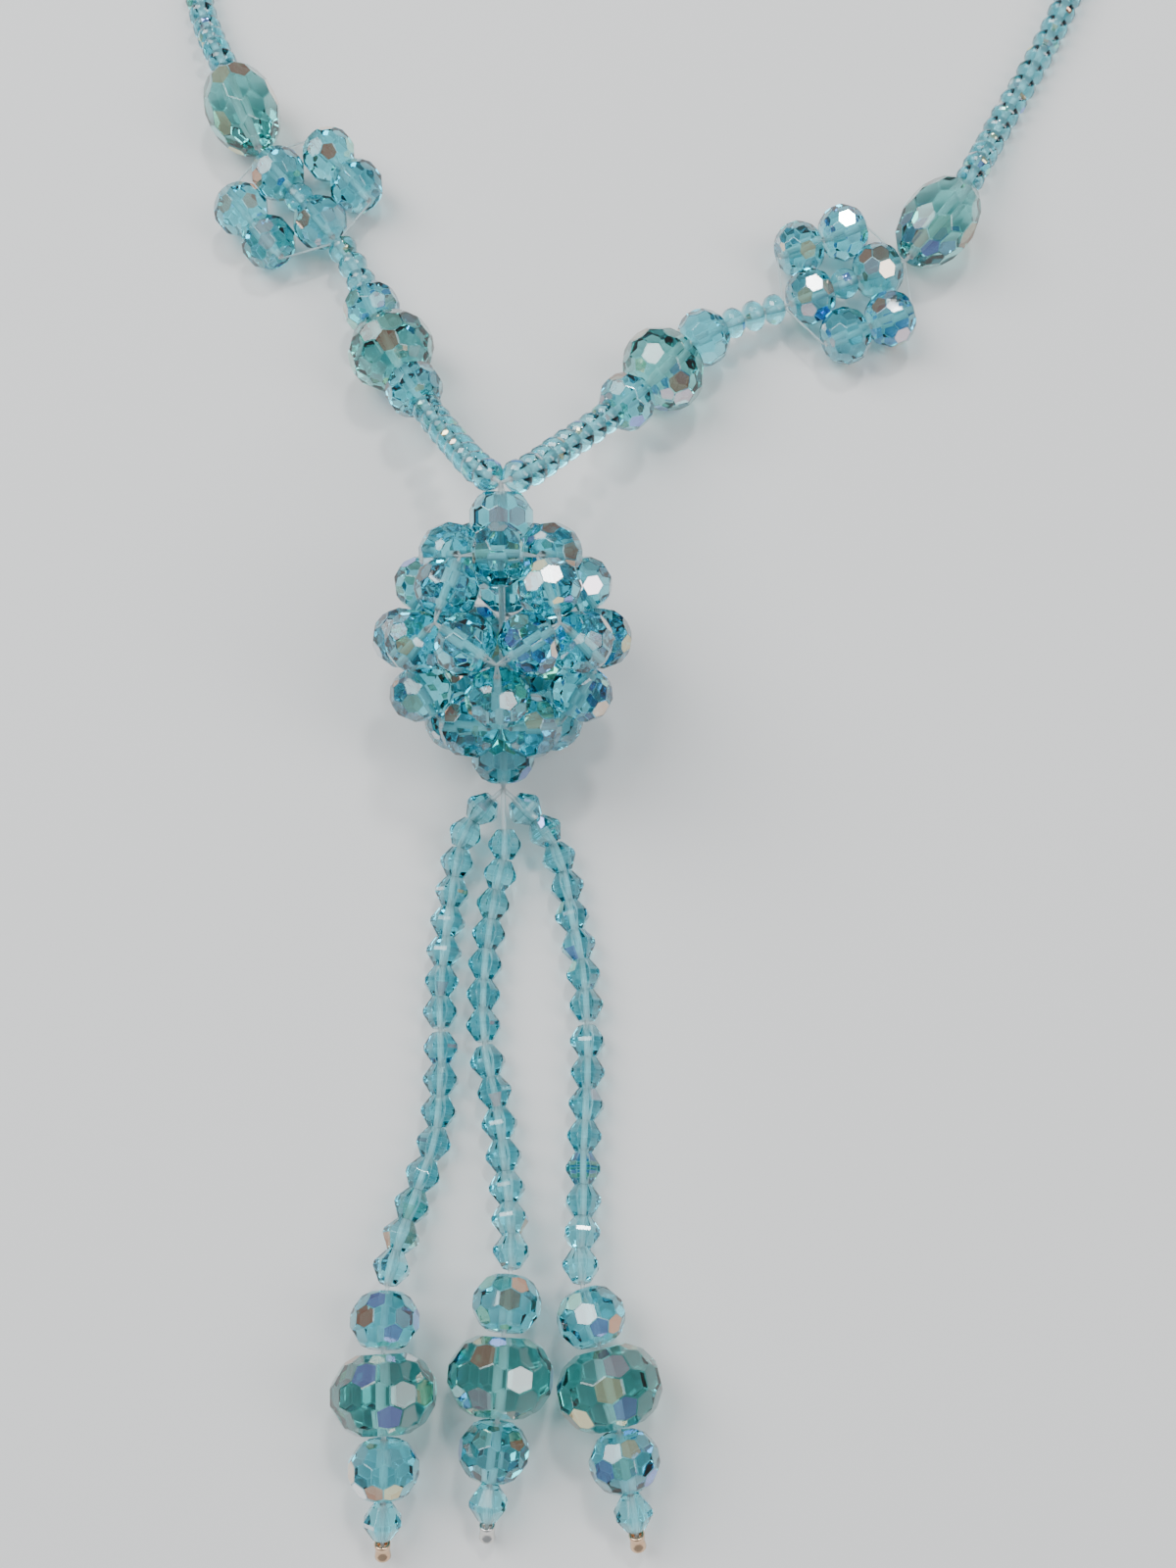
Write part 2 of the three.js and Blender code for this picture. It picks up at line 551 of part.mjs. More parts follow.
// The clasp lies flat: an eye of round wire, a stem, and a hook whose mouth the trigger closes.
markJoint("clasp_swivel", leftRoute, leftLoop);
const hookCentre = CLASP_EYE_RADIUS * 1.4 + CLASP_STEM_LENGTH + CLASP_HOOK_INNER;
const slab = (shape) => {
  const options = { depth: CLASP_THICKNESS, bevelEnabled: false, curveSegments: 10 };
  return new THREE.ExtrudeGeometry(shape, options).translate(0, 0, -CLASP_THICKNESS / 2);
};
const stemStart = CLASP_EYE_RADIUS * 1.55;
const stemEnd = hookCentre - (CLASP_HOOK_INNER + CLASP_HOOK_OUTER) / 2;
const stem = new THREE.Shape();
stem.moveTo(-CLASP_STEM_WIDTH / 2, stemStart);
stem.lineTo(CLASP_STEM_WIDTH / 2, stemStart);
stem.lineTo(CLASP_STEM_WIDTH / 2 + CLASP_STEM_FLARE, stemEnd);
stem.lineTo(-CLASP_STEM_WIDTH / 2 - CLASP_STEM_FLARE, stemEnd);
stem.closePath();
const hook = new THREE.Shape();
hook.absarc(0, hookCentre, CLASP_HOOK_OUTER, CLASP_MOUTH_ANGLE, 2 * Math.PI - CLASP_MOUTH_ANGLE, false);
hook.absarc(0, hookCentre, CLASP_HOOK_INNER, 2 * Math.PI - CLASP_MOUTH_ANGLE, CLASP_MOUTH_ANGLE, true);
hook.closePath();
const eye = new THREE.TorusGeometry(CLASP_EYE_RADIUS, CLASP_EYE_WIRE / 2, 8, 16);
eye.translate(0, CLASP_EYE_RADIUS, 0);
const claspBody = addMesh("clasp_body", join([slab(stem), slab(hook), eye]), METAL);
claspBody.applyMatrix4(leftRoute.frame(leftLoop));

const TRIGGER_GAP = BEAD_GAP / CLASP_HOOK_INNER; // as an angle
const TRIGGER_OUTER = CLASP_HOOK_OUTER - 0.3;
const triggerFrom = -CLASP_MOUTH_ANGLE + TRIGGER_GAP;
const triggerTo = CLASP_MOUTH_ANGLE - TRIGGER_GAP;
const lever = new THREE.Shape();
lever.absarc(0, hookCentre, TRIGGER_OUTER, triggerFrom, triggerTo, false);
lever.absarc(0, hookCentre, CLASP_HOOK_INNER + 0.1, triggerTo, triggerFrom, true);
lever.closePath();
const thumbTab = new THREE.BoxGeometry(TAB_WIDTH, TAB_LENGTH, CLASP_THICKNESS * 0.5);
thumbTab.translate(TRIGGER_OUTER + 0.35, hookCentre - 0.5, 0);
const trigger = addMesh("clasp_trigger", join([slab(lever), thumbTab]), METAL);
trigger.applyMatrix4(leftRoute.frame(leftLoop));
const pivotRadius = (CLASP_HOOK_INNER + TRIGGER_OUTER) / 2;
const pivotAngle = -CLASP_MOUTH_ANGLE + TRIGGER_GAP / 2;
const pivot = new THREE.Vector3(pivotRadius * Math.cos(pivotAngle), 0, 0);
pivot.y = hookCentre + pivotRadius * Math.sin(pivotAngle);
jointPlaces.trigger_press = { point: pivot.applyMatrix4(leftRoute.frame(leftLoop)) };

markJoint("ring_swivel", rightRoute, rightLoop);
const ring = new THREE.TorusGeometry(RING_RADIUS, RING_WIRE / 2, 8, 20).translate(0, RING_RADIUS, 0);
addMesh("clasp_ring", ring, METAL).applyMatrix4(rightRoute.frame(rightLoop));

// ---- the tassel --------------------------------------------------------------------------------

const LANE = BICONE_DIAMETER + 0.8; // between neighbouring strands
const DROP_LANE = LARGE_DIAMETER + 0.7; // between the large rondelles at their ends
const MIDDLE_STRAND_PLAN = [
  [0, -3.4],
  [0.2, -7.4],
  [-0.8, -12],
  [-1.6, -17],
  [-2.2, -24],
  [-1.9, -31],
  [-0.4, -38],
  [0.8, -46],
  [1.6, -53],
  [1.7, -57],
  [1.2, -61],
  [0.9, -68.4],
  [0.2, -76],
  [-0.4, -81],
  [-0.6, -86],
];
const LEFT_STRAND_PLAN = [
  [-2.9, -2.3],
  [-5, -5.6],
  [-0.8 - LANE, -10.2],
  [-1.6 - LANE, -16.2],
  [-2.2 - LANE, -25],
  [-1.9 - LANE, -35],
  [-2.4 - LANE, -42],
  [-4.4 - LANE, -48.5],
  [1.2 - DROP_LANE, -55],
  [0.4 - DROP_LANE, -59.5],
  [0.3 - DROP_LANE, -64],
  [0.7 - DROP_LANE, -71.2],
  [0.9 - DROP_LANE, -78.8],
  [0.8 - DROP_LANE, -84],
  [0.7 - DROP_LANE, -90],
];
const RIGHT_STRAND_PLAN = [
  [2.9, -2.3],
  [5.5, -5.2],
  [7.4, -9.5],
  [8.6, -15.6],
  [9.9, -22.2],
  [10.4, -29.2],
  [10.4, -36.2],
  [10, -43.2],
  [9.9, -51.2],
  [-3 + DROP_LANE, -57],
  [-2.2 + DROP_LANE, -61.6],
  [0.2 + DROP_LANE, -68.6],
  [1.5 + DROP_LANE, -75.8],
  [2.5 + DROP_LANE, -81],
  [3.3 + DROP_LANE, -86],
];

// The plans were laid out for bicones of this length, and stretch with theirs.
const PLANNED_BICONE_LENGTH = 3.75;

function addStrand(side, hand, firstBead, beads) {
  const stretch = BICONE_LENGTH / PLANNED_BICONE_LENGTH;
  const plan = hand.map(([across, along]) => [across, along * stretch]);
  const runLength = beads * BICONE_LENGTH;
  const bicones = () => beadParts(beads, BICONE_DIAMETER, BICONE_LENGTH);
  const lowerStart = firstBead + runLength + HINGE_GAP;
  // The drop: medium, large and medium rondelle, an end bicone, and the crimp on its thread.
  const dropStart = lowerStart + runLength + HINGE_GAP;
  const upper = dropStart + BEAD_GAP + MEDIUM_LENGTH / 2;
  const large = upper + MEDIUM_LENGTH / 2 + DROP_LARGE_GAP + LARGE_LENGTH / 2;
  const lower = large + LARGE_LENGTH / 2 + DROP_LARGE_GAP + MEDIUM_LENGTH / 2;
  const bicone = lower + MEDIUM_LENGTH / 2 + HINGE_GAP + BICONE_LENGTH / 2;
  const crimpStart = bicone + BICONE_LENGTH / 2 + HINGE_GAP;
  // Heights of the strand's hole, hand-placed: down from the ball, along the floor and up to the drop.
  const route = new Route(BASE_JOINT, plan, [
    [0, BASE_JOINT.z],
    [firstBead + BICONE_LENGTH, BICONE_REST + 1.6],
    [firstBead + 4 * BICONE_LENGTH, BICONE_REST],
    [dropStart - 3.5 * BICONE_LENGTH, BICONE_REST],
    [upper - MEDIUM_LENGTH / 2, LARGE_REST - 1],
    [upper + MEDIUM_LENGTH / 2, LARGE_REST - 0.2],
    [large - LARGE_LENGTH / 2, LARGE_REST],
    [large + LARGE_LENGTH / 2, LARGE_REST],
    [lower - MEDIUM_LENGTH / 2, LARGE_REST - 0.2],
    [lower + MEDIUM_LENGTH / 2, LARGE_REST - 1],
    [bicone - BICONE_LENGTH / 2, LARGE_REST - 1.15],
    [bicone + BICONE_LENGTH / 2, BICONE_REST + 1.6],
    [crimpStart + CRIMP_LENGTH, BICONE_REST],
  ]);
  route.holdStraight(upper, MEDIUM_LENGTH);
  route.holdStraight(large, LARGE_LENGTH);
  route.holdStraight(lower, MEDIUM_LENGTH);
  route.holdStraight(bicone, BICONE_LENGTH);
  markJoint(`${side}_strand_root`, route, 0);
  const threadStart = 2 * THREAD_DIAMETER;
  const upperParts = [...bareThread(firstBead - threadStart, 2), ...bicones()];
  addMesh(`${side}_strand_upper`, stringGeometry(route, threadStart, upperParts), AQUA);
  markJoint(`${side}_strand_middle`, route, lowerStart - HINGE_GAP / 2);
  addMesh(`${side}_strand_lower`, stringGeometry(route, lowerStart, bicones()), AQUA);
  markJoint(`${side}_drop`, route, dropStart - HINGE_GAP / 2);
  addBead(`${side}_drop_rondelle_upper`, route, upper, mediumBead(HOLE_DIAMETER), BLUE);
  addBead(`${side}_drop_rondelle_large`, route, large, largeBead(), TEAL);
  addBead(`${side}_drop_rondelle_lower`, route, lower, mediumBead(HOLE_DIAMETER), BLUE);
  addBead(`${side}_drop_bicone`, route, bicone, endBicone(), AQUA);
  const dropThread = [...bareThread(crimpStart - dropStart, 14), crimpPart];
  addMesh(`${side}_drop_crimp`, stringGeometry(route, dropStart, dropThread), METAL);
  markJoint(`${side}_drop_spin`, route, large);
}

// The middle strand's first bead hangs below the first pair of the strands beside it.
const SIDE_STRAND_START = 1.8;
const MIDDLE_STRAND_START = 5;
addStrand("left", LEFT_STRAND_PLAN, SIDE_STRAND_START, SIDE_STRAND_BEADS);
addStrand("middle", MIDDLE_STRAND_PLAN, MIDDLE_STRAND_START, MIDDLE_STRAND_BEADS);
addStrand("right", RIGHT_STRAND_PLAN, SIDE_STRAND_START, SIDE_STRAND_BEADS);

// ---- place on the resting surface --------------------------------------------------------------

// The origin is on the resting surface, under the middle of the whole necklace.
const bounds = new THREE.Box3().setFromObject(necklace, true);
const middle = bounds.getCenter(new THREE.Vector3());
necklace.position.set(-middle.x, -middle.y, -bounds.min.z);
necklace.userData.joints = jointPlaces;

export default necklace;
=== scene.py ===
# A Y-shaped necklace of faceted crystal glass beads, lying open on a pale floor.
# A ball woven from thirty rondelles is the pendant. Three bead strands hang from it as a tassel.
# Two legs of small beads carry graded rondelles, a woven flower and an oval bead each, and then
# the neck strand with its clasp. Metres, +Z up, +Y from the tassel towards the clasp.
import json
import math
import random

import bmesh
import bpy
import numpy as np
from mathutils import Matrix, Vector


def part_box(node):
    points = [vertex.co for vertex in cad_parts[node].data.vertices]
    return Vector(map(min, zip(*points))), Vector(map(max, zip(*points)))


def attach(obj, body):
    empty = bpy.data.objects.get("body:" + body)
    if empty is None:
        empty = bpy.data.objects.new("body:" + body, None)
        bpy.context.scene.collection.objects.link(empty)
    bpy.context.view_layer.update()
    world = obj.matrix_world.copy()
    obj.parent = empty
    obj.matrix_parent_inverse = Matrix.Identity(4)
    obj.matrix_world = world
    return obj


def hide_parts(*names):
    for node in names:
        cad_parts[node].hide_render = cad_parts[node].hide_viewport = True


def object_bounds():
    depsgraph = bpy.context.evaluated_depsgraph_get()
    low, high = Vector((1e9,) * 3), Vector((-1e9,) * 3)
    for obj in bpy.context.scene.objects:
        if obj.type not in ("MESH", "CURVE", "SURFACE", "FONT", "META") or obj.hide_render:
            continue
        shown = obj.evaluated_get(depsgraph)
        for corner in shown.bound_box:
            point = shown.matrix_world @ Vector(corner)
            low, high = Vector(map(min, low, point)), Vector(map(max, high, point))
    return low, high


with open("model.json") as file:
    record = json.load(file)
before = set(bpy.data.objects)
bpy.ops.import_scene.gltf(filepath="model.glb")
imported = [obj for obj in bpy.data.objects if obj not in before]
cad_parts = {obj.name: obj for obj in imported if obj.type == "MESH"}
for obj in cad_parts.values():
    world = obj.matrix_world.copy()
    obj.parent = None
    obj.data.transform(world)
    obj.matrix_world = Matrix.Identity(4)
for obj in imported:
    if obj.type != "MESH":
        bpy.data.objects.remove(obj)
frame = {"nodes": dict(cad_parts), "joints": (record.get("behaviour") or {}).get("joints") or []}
cad_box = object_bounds()


# ---- Camera ------------------------------------------------------------------------------------
# The necklace is seen from above the tassel, looking over the ball to the two legs. The back of
# the neck strand lies beyond the upper edge of the view.
MM = 0.001


def middle_of(*nodes):
    """The middle of the box round some CAD nodes."""
    ends = [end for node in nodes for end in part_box(node)]
    low = Vector(min(end[i] for end in ends) for i in range(3))
    high = Vector(max(end[i] for end in ends) for i in range(3))
    return (low + high) / 2


ball_centre = middle_of("ball_top_ring", "ball_middle_band", "ball_bottom_ring")
EYE = Vector((10.5, -78.7, 197.0)) * MM  # from the floor under the ball
LOOK_DOWN = math.radians(71.87)
FOCAL_LENGTH = 37.24
SENSOR_HEIGHT = 36
NEAREST = 10 * MM

camera = bpy.data.objects.new("camera", bpy.data.cameras.new("camera"))
bpy.context.scene.collection.objects.link(camera)
camera.data.sensor_fit = "VERTICAL"
camera.data.sensor_height = SENSOR_HEIGHT
camera.data.lens = FOCAL_LENGTH
camera.data.clip_start = NEAREST
camera.location = EYE + Vector((ball_centre.x, ball_centre.y, 0))
camera.rotation_euler = (math.pi / 2 - LOOK_DOWN, 0, 0)
bpy.context.scene.camera = camera


# ---- Floor and light ---------------------------------------------------------------------------
# A plain pale floor, and the soft light of a studio: two large softboxes and a smaller, nearer lamp
# that gives the facets their sparkle.
class Finish:
    """A material, built node by node."""

    def __init__(self, name):
        self.material = bpy.data.materials.new(name)
        self.material.use_nodes = True
        self.tree = self.material.node_tree
        self.tree.nodes.clear()

    def node(self, kind, settings=(), **sockets):
        """Adds a node: its settings first, and then the values or links of its sockets.

        A socket is named by its title with _ for each space, or by i and its number.
        """
        made = self.tree.nodes.new("ShaderNode" + kind)
        for name, value in dict(settings).items():
            setattr(made, name, value)
        for name, value in sockets.items():
            title = name.replace("_", " ")
            socket = made.inputs[int(name[1:]) if name[1:].isdigit() else title]
            if isinstance(value, Value):
                self.tree.links.new(value.socket, socket)
            else:
                socket.default_value = value
        return made

    def value(self, node, output=0):
        return Value(self, node.outputs[output])


class Value:
    """What a socket gives out, on which sums can be written as in ordinary maths."""

    def __init__(self, finish, socket):
        self.finish = finish
        self.socket = socket

    def maths(self, operation, first, second):
        node = self.finish.node("Math", {"operation": operation}, i0=first, i1=second)
        return Value(self.finish, node.outputs[0])

    def __add__(self, other):
        return self.maths("ADD", self, other)

    def __mul__(self, other):
        return self.maths("MULTIPLY", self, other)

    __radd__ = __add__
    __rmul__ = __mul__


FLOOR_SIZE = 6.0
FLOOR_DROP = 0.25 * MM  # small beads that lie on an edge reach a little below the plain ones
floor_mesh = bpy.data.meshes.new("floor")
floor_plate = bmesh.new()
bmesh.ops.create_grid(floor_plate, x_segments=1, y_segments=1, size=FLOOR_SIZE / 2)
floor_plate.to_mesh(floor_mesh)
floor_plate.free()
floor = bpy.data.objects.new("floor", floor_mesh)
bpy.context.scene.collection.objects.link(floor)
floor.location.z = cad_box[0][2] - FLOOR_DROP
paper = Finish("pale_paper")
paper_shader = paper.node(
    "BsdfPrincipled", Base_Color=(0.78, 0.78, 0.77, 1), Roughness=0.85
)
paper.node("OutputMaterial", Surface=paper.value(paper_shader))
floor.data.materials.append(paper.material)

LIGHTS = (
    # name, place from the middle of the necklace, width, height, watts
    ("softbox_left", (-0.55, 0.25, 0.75), 0.55, 0.8, 9.0),
    ("softbox_right", (0.6, -0.2, 0.7), 0.35, 0.7, 4.0),
    ("sparkle", (0.12, 0.42, 0.8), 0.1, 0.1, 2.2),
)
for name, place, width, height, watts in LIGHTS:
    light = bpy.data.lights.new(name, "AREA")
    light.shape = "RECTANGLE"
    light.size = width
    light.size_y = height
    light.energy = watts
    lamp = bpy.data.objects.new(name, light)
    bpy.context.scene.collection.objects.link(lamp)
    lamp.location = Vector(place)
    lamp.rotation_euler = (-Vector(place)).to_track_quat("-Z", "Y").to_euler()
STUDIO_WALLS = (0.8, 0.87, 0.95, 1)
WALL_LIGHT = 0.45
world = bpy.data.worlds.new("studio")
world.use_nodes = True
surroundings = world.node_tree.nodes["Background"].inputs
surroundings["Color"].default_value = STUDIO_WALLS
surroundings["Strength"].default_value = WALL_LIGHT
bpy.context.scene.world = world


# ---- The woven ball ----------------------------------------------------------------------------
# Thirty 8 mm glass rondelles woven into a hollow ball: one on every edge of a dodecahedron, three
# meeting at each corner. The glass is aqua with a rainbow coating, whose glints are painted on
# single facets, with painted shade on others. Doubled nylon thread runs through every bore and from
# bead to bead round the corners.
MEDIUM_DIAMETER = 8
MEDIUM_LENGTH = 6
UP = Vector((0, 0, 1))
TURN = 2 * math.pi
BLOCK_SIZE = 3  # of the block a bead is ground from, in lengths or rim distances of the bead
GRAZING = 1e-5  # a plane passes through corners nearer to it than this
MERGE = 0.01  # corners of a cut bead closer than this are one
END_FACING = 0.999  # a face whose normal lies along the bore at least this far is an end face
SMALLEST_FACET = 2.5  # shortest side of a facet, in widths of its worn edge


def cut_bead(length, rim, rows, bore, edge_width):
    """A faceted glass bead about the local Y axis, in millimetres: a block ground plane by plane.

    A row of facets is (tilt towards the ends in degrees, number, part of a step it is turned by,
    distance from the middle). The rim's facets, one of them underneath, lie at the distance rim.
    """
    bead = bmesh.new()
    bmesh.ops.create_cube(bead, size=BLOCK_SIZE * max(length, rim))
    planes = [(Vector((0, end, 0)), length / 2) for end in (-1, 1)]
    for tilt, number, turned, distance in rows:
        for end in (-1, 1) if tilt else (1,):
            for step in range(number):
                turn = (step + turned) * TURN / number
                lean = math.radians(tilt)
                across = Vector((math.sin(turn), 0, -math.cos(turn))) * math.cos(lean)
                planes.append((across + Vector((0, end * math.sin(lean), 0)), distance))
    for normal, distance in planes:
        cut = bmesh.ops.bisect_plane(
            bead,
            geom=bead.verts[:] + bead.edges[:] + bead.faces[:],
            dist=GRAZING,
            plane_co=normal * distance,
            plane_no=normal,
            clear_outer=True,
        )["geom_cut"]
        edges = [item for item in cut if isinstance(item, bmesh.types.BMEdge)]
        if len(edges) > 2:
            bmesh.ops.contextual_create(bead, geom=edges)
    bmesh.ops.remove_doubles(bead, verts=bead.verts, dist=MERGE)
    facet = bead.faces.layers.int.new("facet")
    for face in bead.faces:
        face[facet] = 1
    if edge_width:
        bmesh.ops.bevel(
            bead,
            geom=bead.edges[:],
            offset=edge_width,
            segments=1,
            profile=0.5,
            affect="EDGES",
            clamp_overlap=True,
            material=-1,
        )
        for face in bead.faces:
            shortest = min(edge.calc_length() for edge in face.edges)
            face[facet] = int(shortest > SMALLEST_FACET * edge_width)
    ends = [face for face in bead.faces if abs(face.normal.y) > END_FACING]
    for end in ends:
        middle = end.calc_center_median()
        reach = sum((v.co - middle).length for v in end.verts) / len(end.verts)
        end[facet] = 0
        margin = reach - bore / 2
        bmesh.ops.inset_region(bead, faces=[end], thickness=margin, use_even_offset=True)
    rims = [edge for end in ends for edge in end.edges]
    bmesh.ops.delete(bead, geom=ends, context="FACES_ONLY")
    for face in bmesh.ops.bridge_loops(bead, edges=rims)["faces"]:
        face.material_index = 1
        face[facet] = 0
    bmesh.ops.recalc_face_normals(bead, faces=bead.faces)
    made = bpy.data.meshes.new("cut_bead")
    bead.to_mesh(made)
    bead.free()
    return made


def oblate(rim, end_radius, end, tilt):
    """How far the facet of that tilt lies from the middle of a bead that swells from its ends."""
    lean = math.radians(tilt)
    depth = end / math.sqrt(1 - (end_radius / rim) ** 2)
    return math.hypot(rim * math.cos(lean), depth * math.sin(lean))


RONDELLE_END = 0.235  # radius of a rondelle's end face, as a share of its diameter
MEDIUM_RIM = MEDIUM_DIAMETER / 2 * math.cos(math.pi / 8)
MEDIUM_END = MEDIUM_DIAMETER * RONDELLE_END
MEDIUM_ROWS = [
    (tilt, 10, turned, oblate(MEDIUM_RIM, MEDIUM_END, MEDIUM_LENGTH / 2, tilt))
    for tilt, turned in ((0, 0), (34, 0.5), (62, 0))
]
MEDIUM_BORE = 1.1
MEDIUM_EDGE = 0.07  # width of a facet's worn edge
medium_bead = cut_bead(MEDIUM_LENGTH, MEDIUM_RIM, MEDIUM_ROWS, MEDIUM_BORE, MEDIUM_EDGE)

# Painted glints of the rainbow coating, each painted into one facet's colour: what a coated facet
# throws back, white, cream, peach, rust, lilac grey, blue violet and green.
PAINTED_GLINTS = [
    (0.96, 0.98, 1.0),
    (0.98, 0.86, 0.52),
    (0.96, 0.76, 0.6),
    (0.66, 0.36, 0.24),
    (0.72, 0.62, 0.68),
    (0.36, 0.42, 0.86),
    (0.42, 0.86, 0.72),
]
FLASH_MIRROR = (0.35, 0.9)  # the weakest and the strongest
BARE_GLASS = (0.93, 0.99, 1)  # edges, end faces and bores
FACET_GLASS = (0.92, 0.99, 1)
# Painted shade: the glass of the other facets is painted darker, by a random share between these.
PAINTED_FACET_SHADE = (0.72, 1)
FACET_MIRROR = (0, 0, 0.04, 0.1)
chance = random.Random(7)


def painted_facet_colour(is_facet, flash_share):
    """The colour of one facet, a painted glint or painted shade, and as its fourth number how
    strongly its coating mirrors.
    """
    if not is_facet:
        return (*BARE_GLASS, 0)
    if chance.random() < flash_share:
        return (*chance.choice(PAINTED_GLINTS), chance.uniform(*FLASH_MIRROR))
    shade = chance.uniform(*PAINTED_FACET_SHADE)
    return (*(shade * part for part in FACET_GLASS), chance.choice(FACET_MIRROR))


SLIP = 0.25  # how far a bead may have turned round its thread, in tenths of a turn
UPRIGHT = 1e-3  # a bore whose level part is shorter than this stands upright


def stand(along, middle):
    """Where a bead stands: its bore along one direction, its underside facet as low as can be."""
    along = along.normalized()
    up = UP - along * along.z
    up = up.normalized() if up.length > UPRIGHT else Vector((0, 1, 0))
    side = along.cross(up)
    turned = Matrix((side, along, up)).transposed().to_4x4()
    return Matrix.Translation(middle) @ turned


def string_beads(name, beads, finishes, flash_share):
    """One object of several beads, each (its cut mesh, the direction of its bore, its middle)."""
    strung = bmesh.new()
    for cut, along, middle in beads:
        before = len(strung.verts)
        strung.from_mesh(cut)
        strung.verts.ensure_lookup_table()
        slip = Matrix.Rotation(chance.uniform(-SLIP, SLIP) * TURN / 10, 4, "Y")
        place = stand(along, middle) @ Matrix.Scale(MM, 4) @ slip
        bmesh.ops.transform(strung, matrix=place, verts=strung.verts[before:])
    facet = strung.faces.layers.int["facet"]
    # Each facet's colour is painted here: painted glints of the coating on some, painted shade on
    # the rest.
    film_and_painted_light = strung.faces.layers.float_color.new("film_and_painted_light")
    for face in strung.faces:
        face[film_and_painted_light] = painted_facet_colour(face[facet], flash_share)
    return finished(name, strung, finishes)


def finished(name, shape, finishes):
    """Makes a bmesh an object, which keeps its place in its mesh."""
    made = bpy.data.meshes.new(name)
    shape.to_mesh(made)
    shape.free()
    for finish in finishes:
        made.materials.append(finish)
    piece = bpy.data.objects.new(name, made)
    bpy.context.scene.collection.objects.link(piece)
    return piece


def glass_finish(name, tint, depth, bending=1.56):
    """Clear glass, coated where the facet's coating mirrors, coloured by painted glints and painted
    shade. The tint deepens with the way through a bead.
    """
    glass = Finish(name)
    place = glass.value(glass.node("TexCoord"), 3)
    film_and_painted_light = glass.node("Attribute", {"attribute_name": "film_and_painted_light"})
    wear = glass.value(glass.node("TexNoise", Vector=place, Scale=420.0, Detail=3.0), 0)
    wave = glass.value(glass.node("TexNoise", Vector=place, Scale=260.0, Detail=1.0), 0)
    bump = glass.node("Bump", Strength=0.06, Distance=0.0002, Height=wave)
    # Base Color: each facet's painted glint or painted shade. Metallic: how strongly its coating
    # mirrors.
    shader = glass.node(
        "BsdfPrincipled",
        Base_Color=glass.value(film_and_painted_light, 0),
        Metallic=glass.value(film_and_painted_light, 3),
        Roughness=0.06 * wear,
        IOR=bending,
        Transmission_Weight=1.0,
        Coat_Weight=0.35,
        Coat_Roughness=0.02,
        Normal=glass.value(bump),
    )
    loss = glass.node("VolumeAbsorption", Color=(*tint, 1), Density=depth)
    glass.node("OutputMaterial", Surface=glass.value(shader), Volume=glass.value(loss))
    return glass.material


def bore_finish(name):
    """The wall of a bore, left white and frosted by the drill."""
    wall = Finish(name)
    place = wall.value(wall.node("TexCoord"), 3)
    grind = wall.value(wall.node("TexNoise", Vector=place, Scale=2600.0, Detail=2.0), 0)
    bump = wall.node("Bump", Strength=0.25, Distance=0.0001, Height=grind)
    shader = wall.node(
        "BsdfPrincipled",
        Base_Color=(1, 1, 1, 1),
        Roughness=0.3 + 0.3 * grind,
        IOR=1.4,
        Transmission_Weight=0.15,
        Normal=wall.value(bump),
    )
    wall.node("OutputMaterial", Surface=wall.value(shader))
    return wall.material


NYLON_SHADE = (0.72, 0.86, 0.88, 1)
NYLON_LIGHT = (0.93, 0.98, 0.98, 1)


def thread_finish():
    """Clear nylon, which looks whitish: fine lengthwise streaks and a soft gloss."""
    nylon = Finish("nylon_thread")
    place = nylon.value(nylon.node("TexCoord"), 3)
    streaks = nylon.value(nylon.node("TexNoise", Vector=place, Scale=1800.0, Detail=3.0), 0)
    colours = nylon.node("Mix", {"data_type": "RGBA"}, i0=streaks, i6=NYLON_SHADE, i7=NYLON_LIGHT)
    bump = nylon.node("Bump", Strength=0.2, Distance=0.0001, Height=streaks)
    shader = nylon.node(
        "BsdfPrincipled",
        Base_Color=nylon.value(colours, 2),
        Roughness=0.2 + 0.25 * streaks,
        IOR=1.5,
        Transmission_Weight=0.7,
        Normal=nylon.value(bump),
    )
    nylon.node("OutputMaterial", Surface=nylon.value(shader))
    return nylon.material


BLUE_TINT = (0.16, 0.9, 0.97)
BLUE_DEPTH = 270.0
blue_glass = [glass_finish("blue_crystal", BLUE_TINT, BLUE_DEPTH), bore_finish("blue_bore")]
nylon_thread = thread_finish()


def threads(name, routes, diameter):
    """Nylon thread along each route, as one object."""
    curve = bpy.data.curves.new(name, "CURVE")
    curve.dimensions = "3D"
    curve.bevel_depth = diameter / 2 * MM
    curve.bevel_resolution = 2
    curve.use_fill_caps = True
    for route in routes:
        line = curve.splines.new("POLY")
        line.points.add(len(route) - 1)
        for point, place in zip(line.points, route):
            point.co = (*place, 1)
    curve.materials.append(nylon_thread)
    piece = bpy.data.objects.new(name, curve)
    bpy.context.scene.collection.objects.link(piece)
    return piece


def belongs(piece, body, slot, *nodes):
    """The piece moves with that body and stands for those nodes. The slot is not used."""
    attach(piece, body)
    if nodes:
        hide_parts(*nodes)


# A dodecahedron's measures, for edges one long. The ball lies on one face's five beads, so its
# axis leans.
FACE_HEIGHT = 1.1135
BELT_CORNER_HEIGHT = 0.263
BALL_EDGE = (ball_centre.z - cad_box[0][2] - MEDIUM_RIM * MM) / FACE_HEIGHT
BALL_LEAN = math.atan(0.5)
BALL_AXIS = Vector((0, math.cos(BALL_LEAN), math.sin(BALL_LEAN)))
BALL_UP = Vector((0, -math.sin(BALL_LEAN), math.cos(BALL_LEAN)))
BALL_SIDE = Vector((1, 0, 0))
FIFTH = TURN / 5
CAP_RADIUS = BALL_EDGE / (2 * math.sin(math.pi / 5))
BELT_RADIUS = CAP_RADIUS * (1 + math.sqrt(5)) / 2


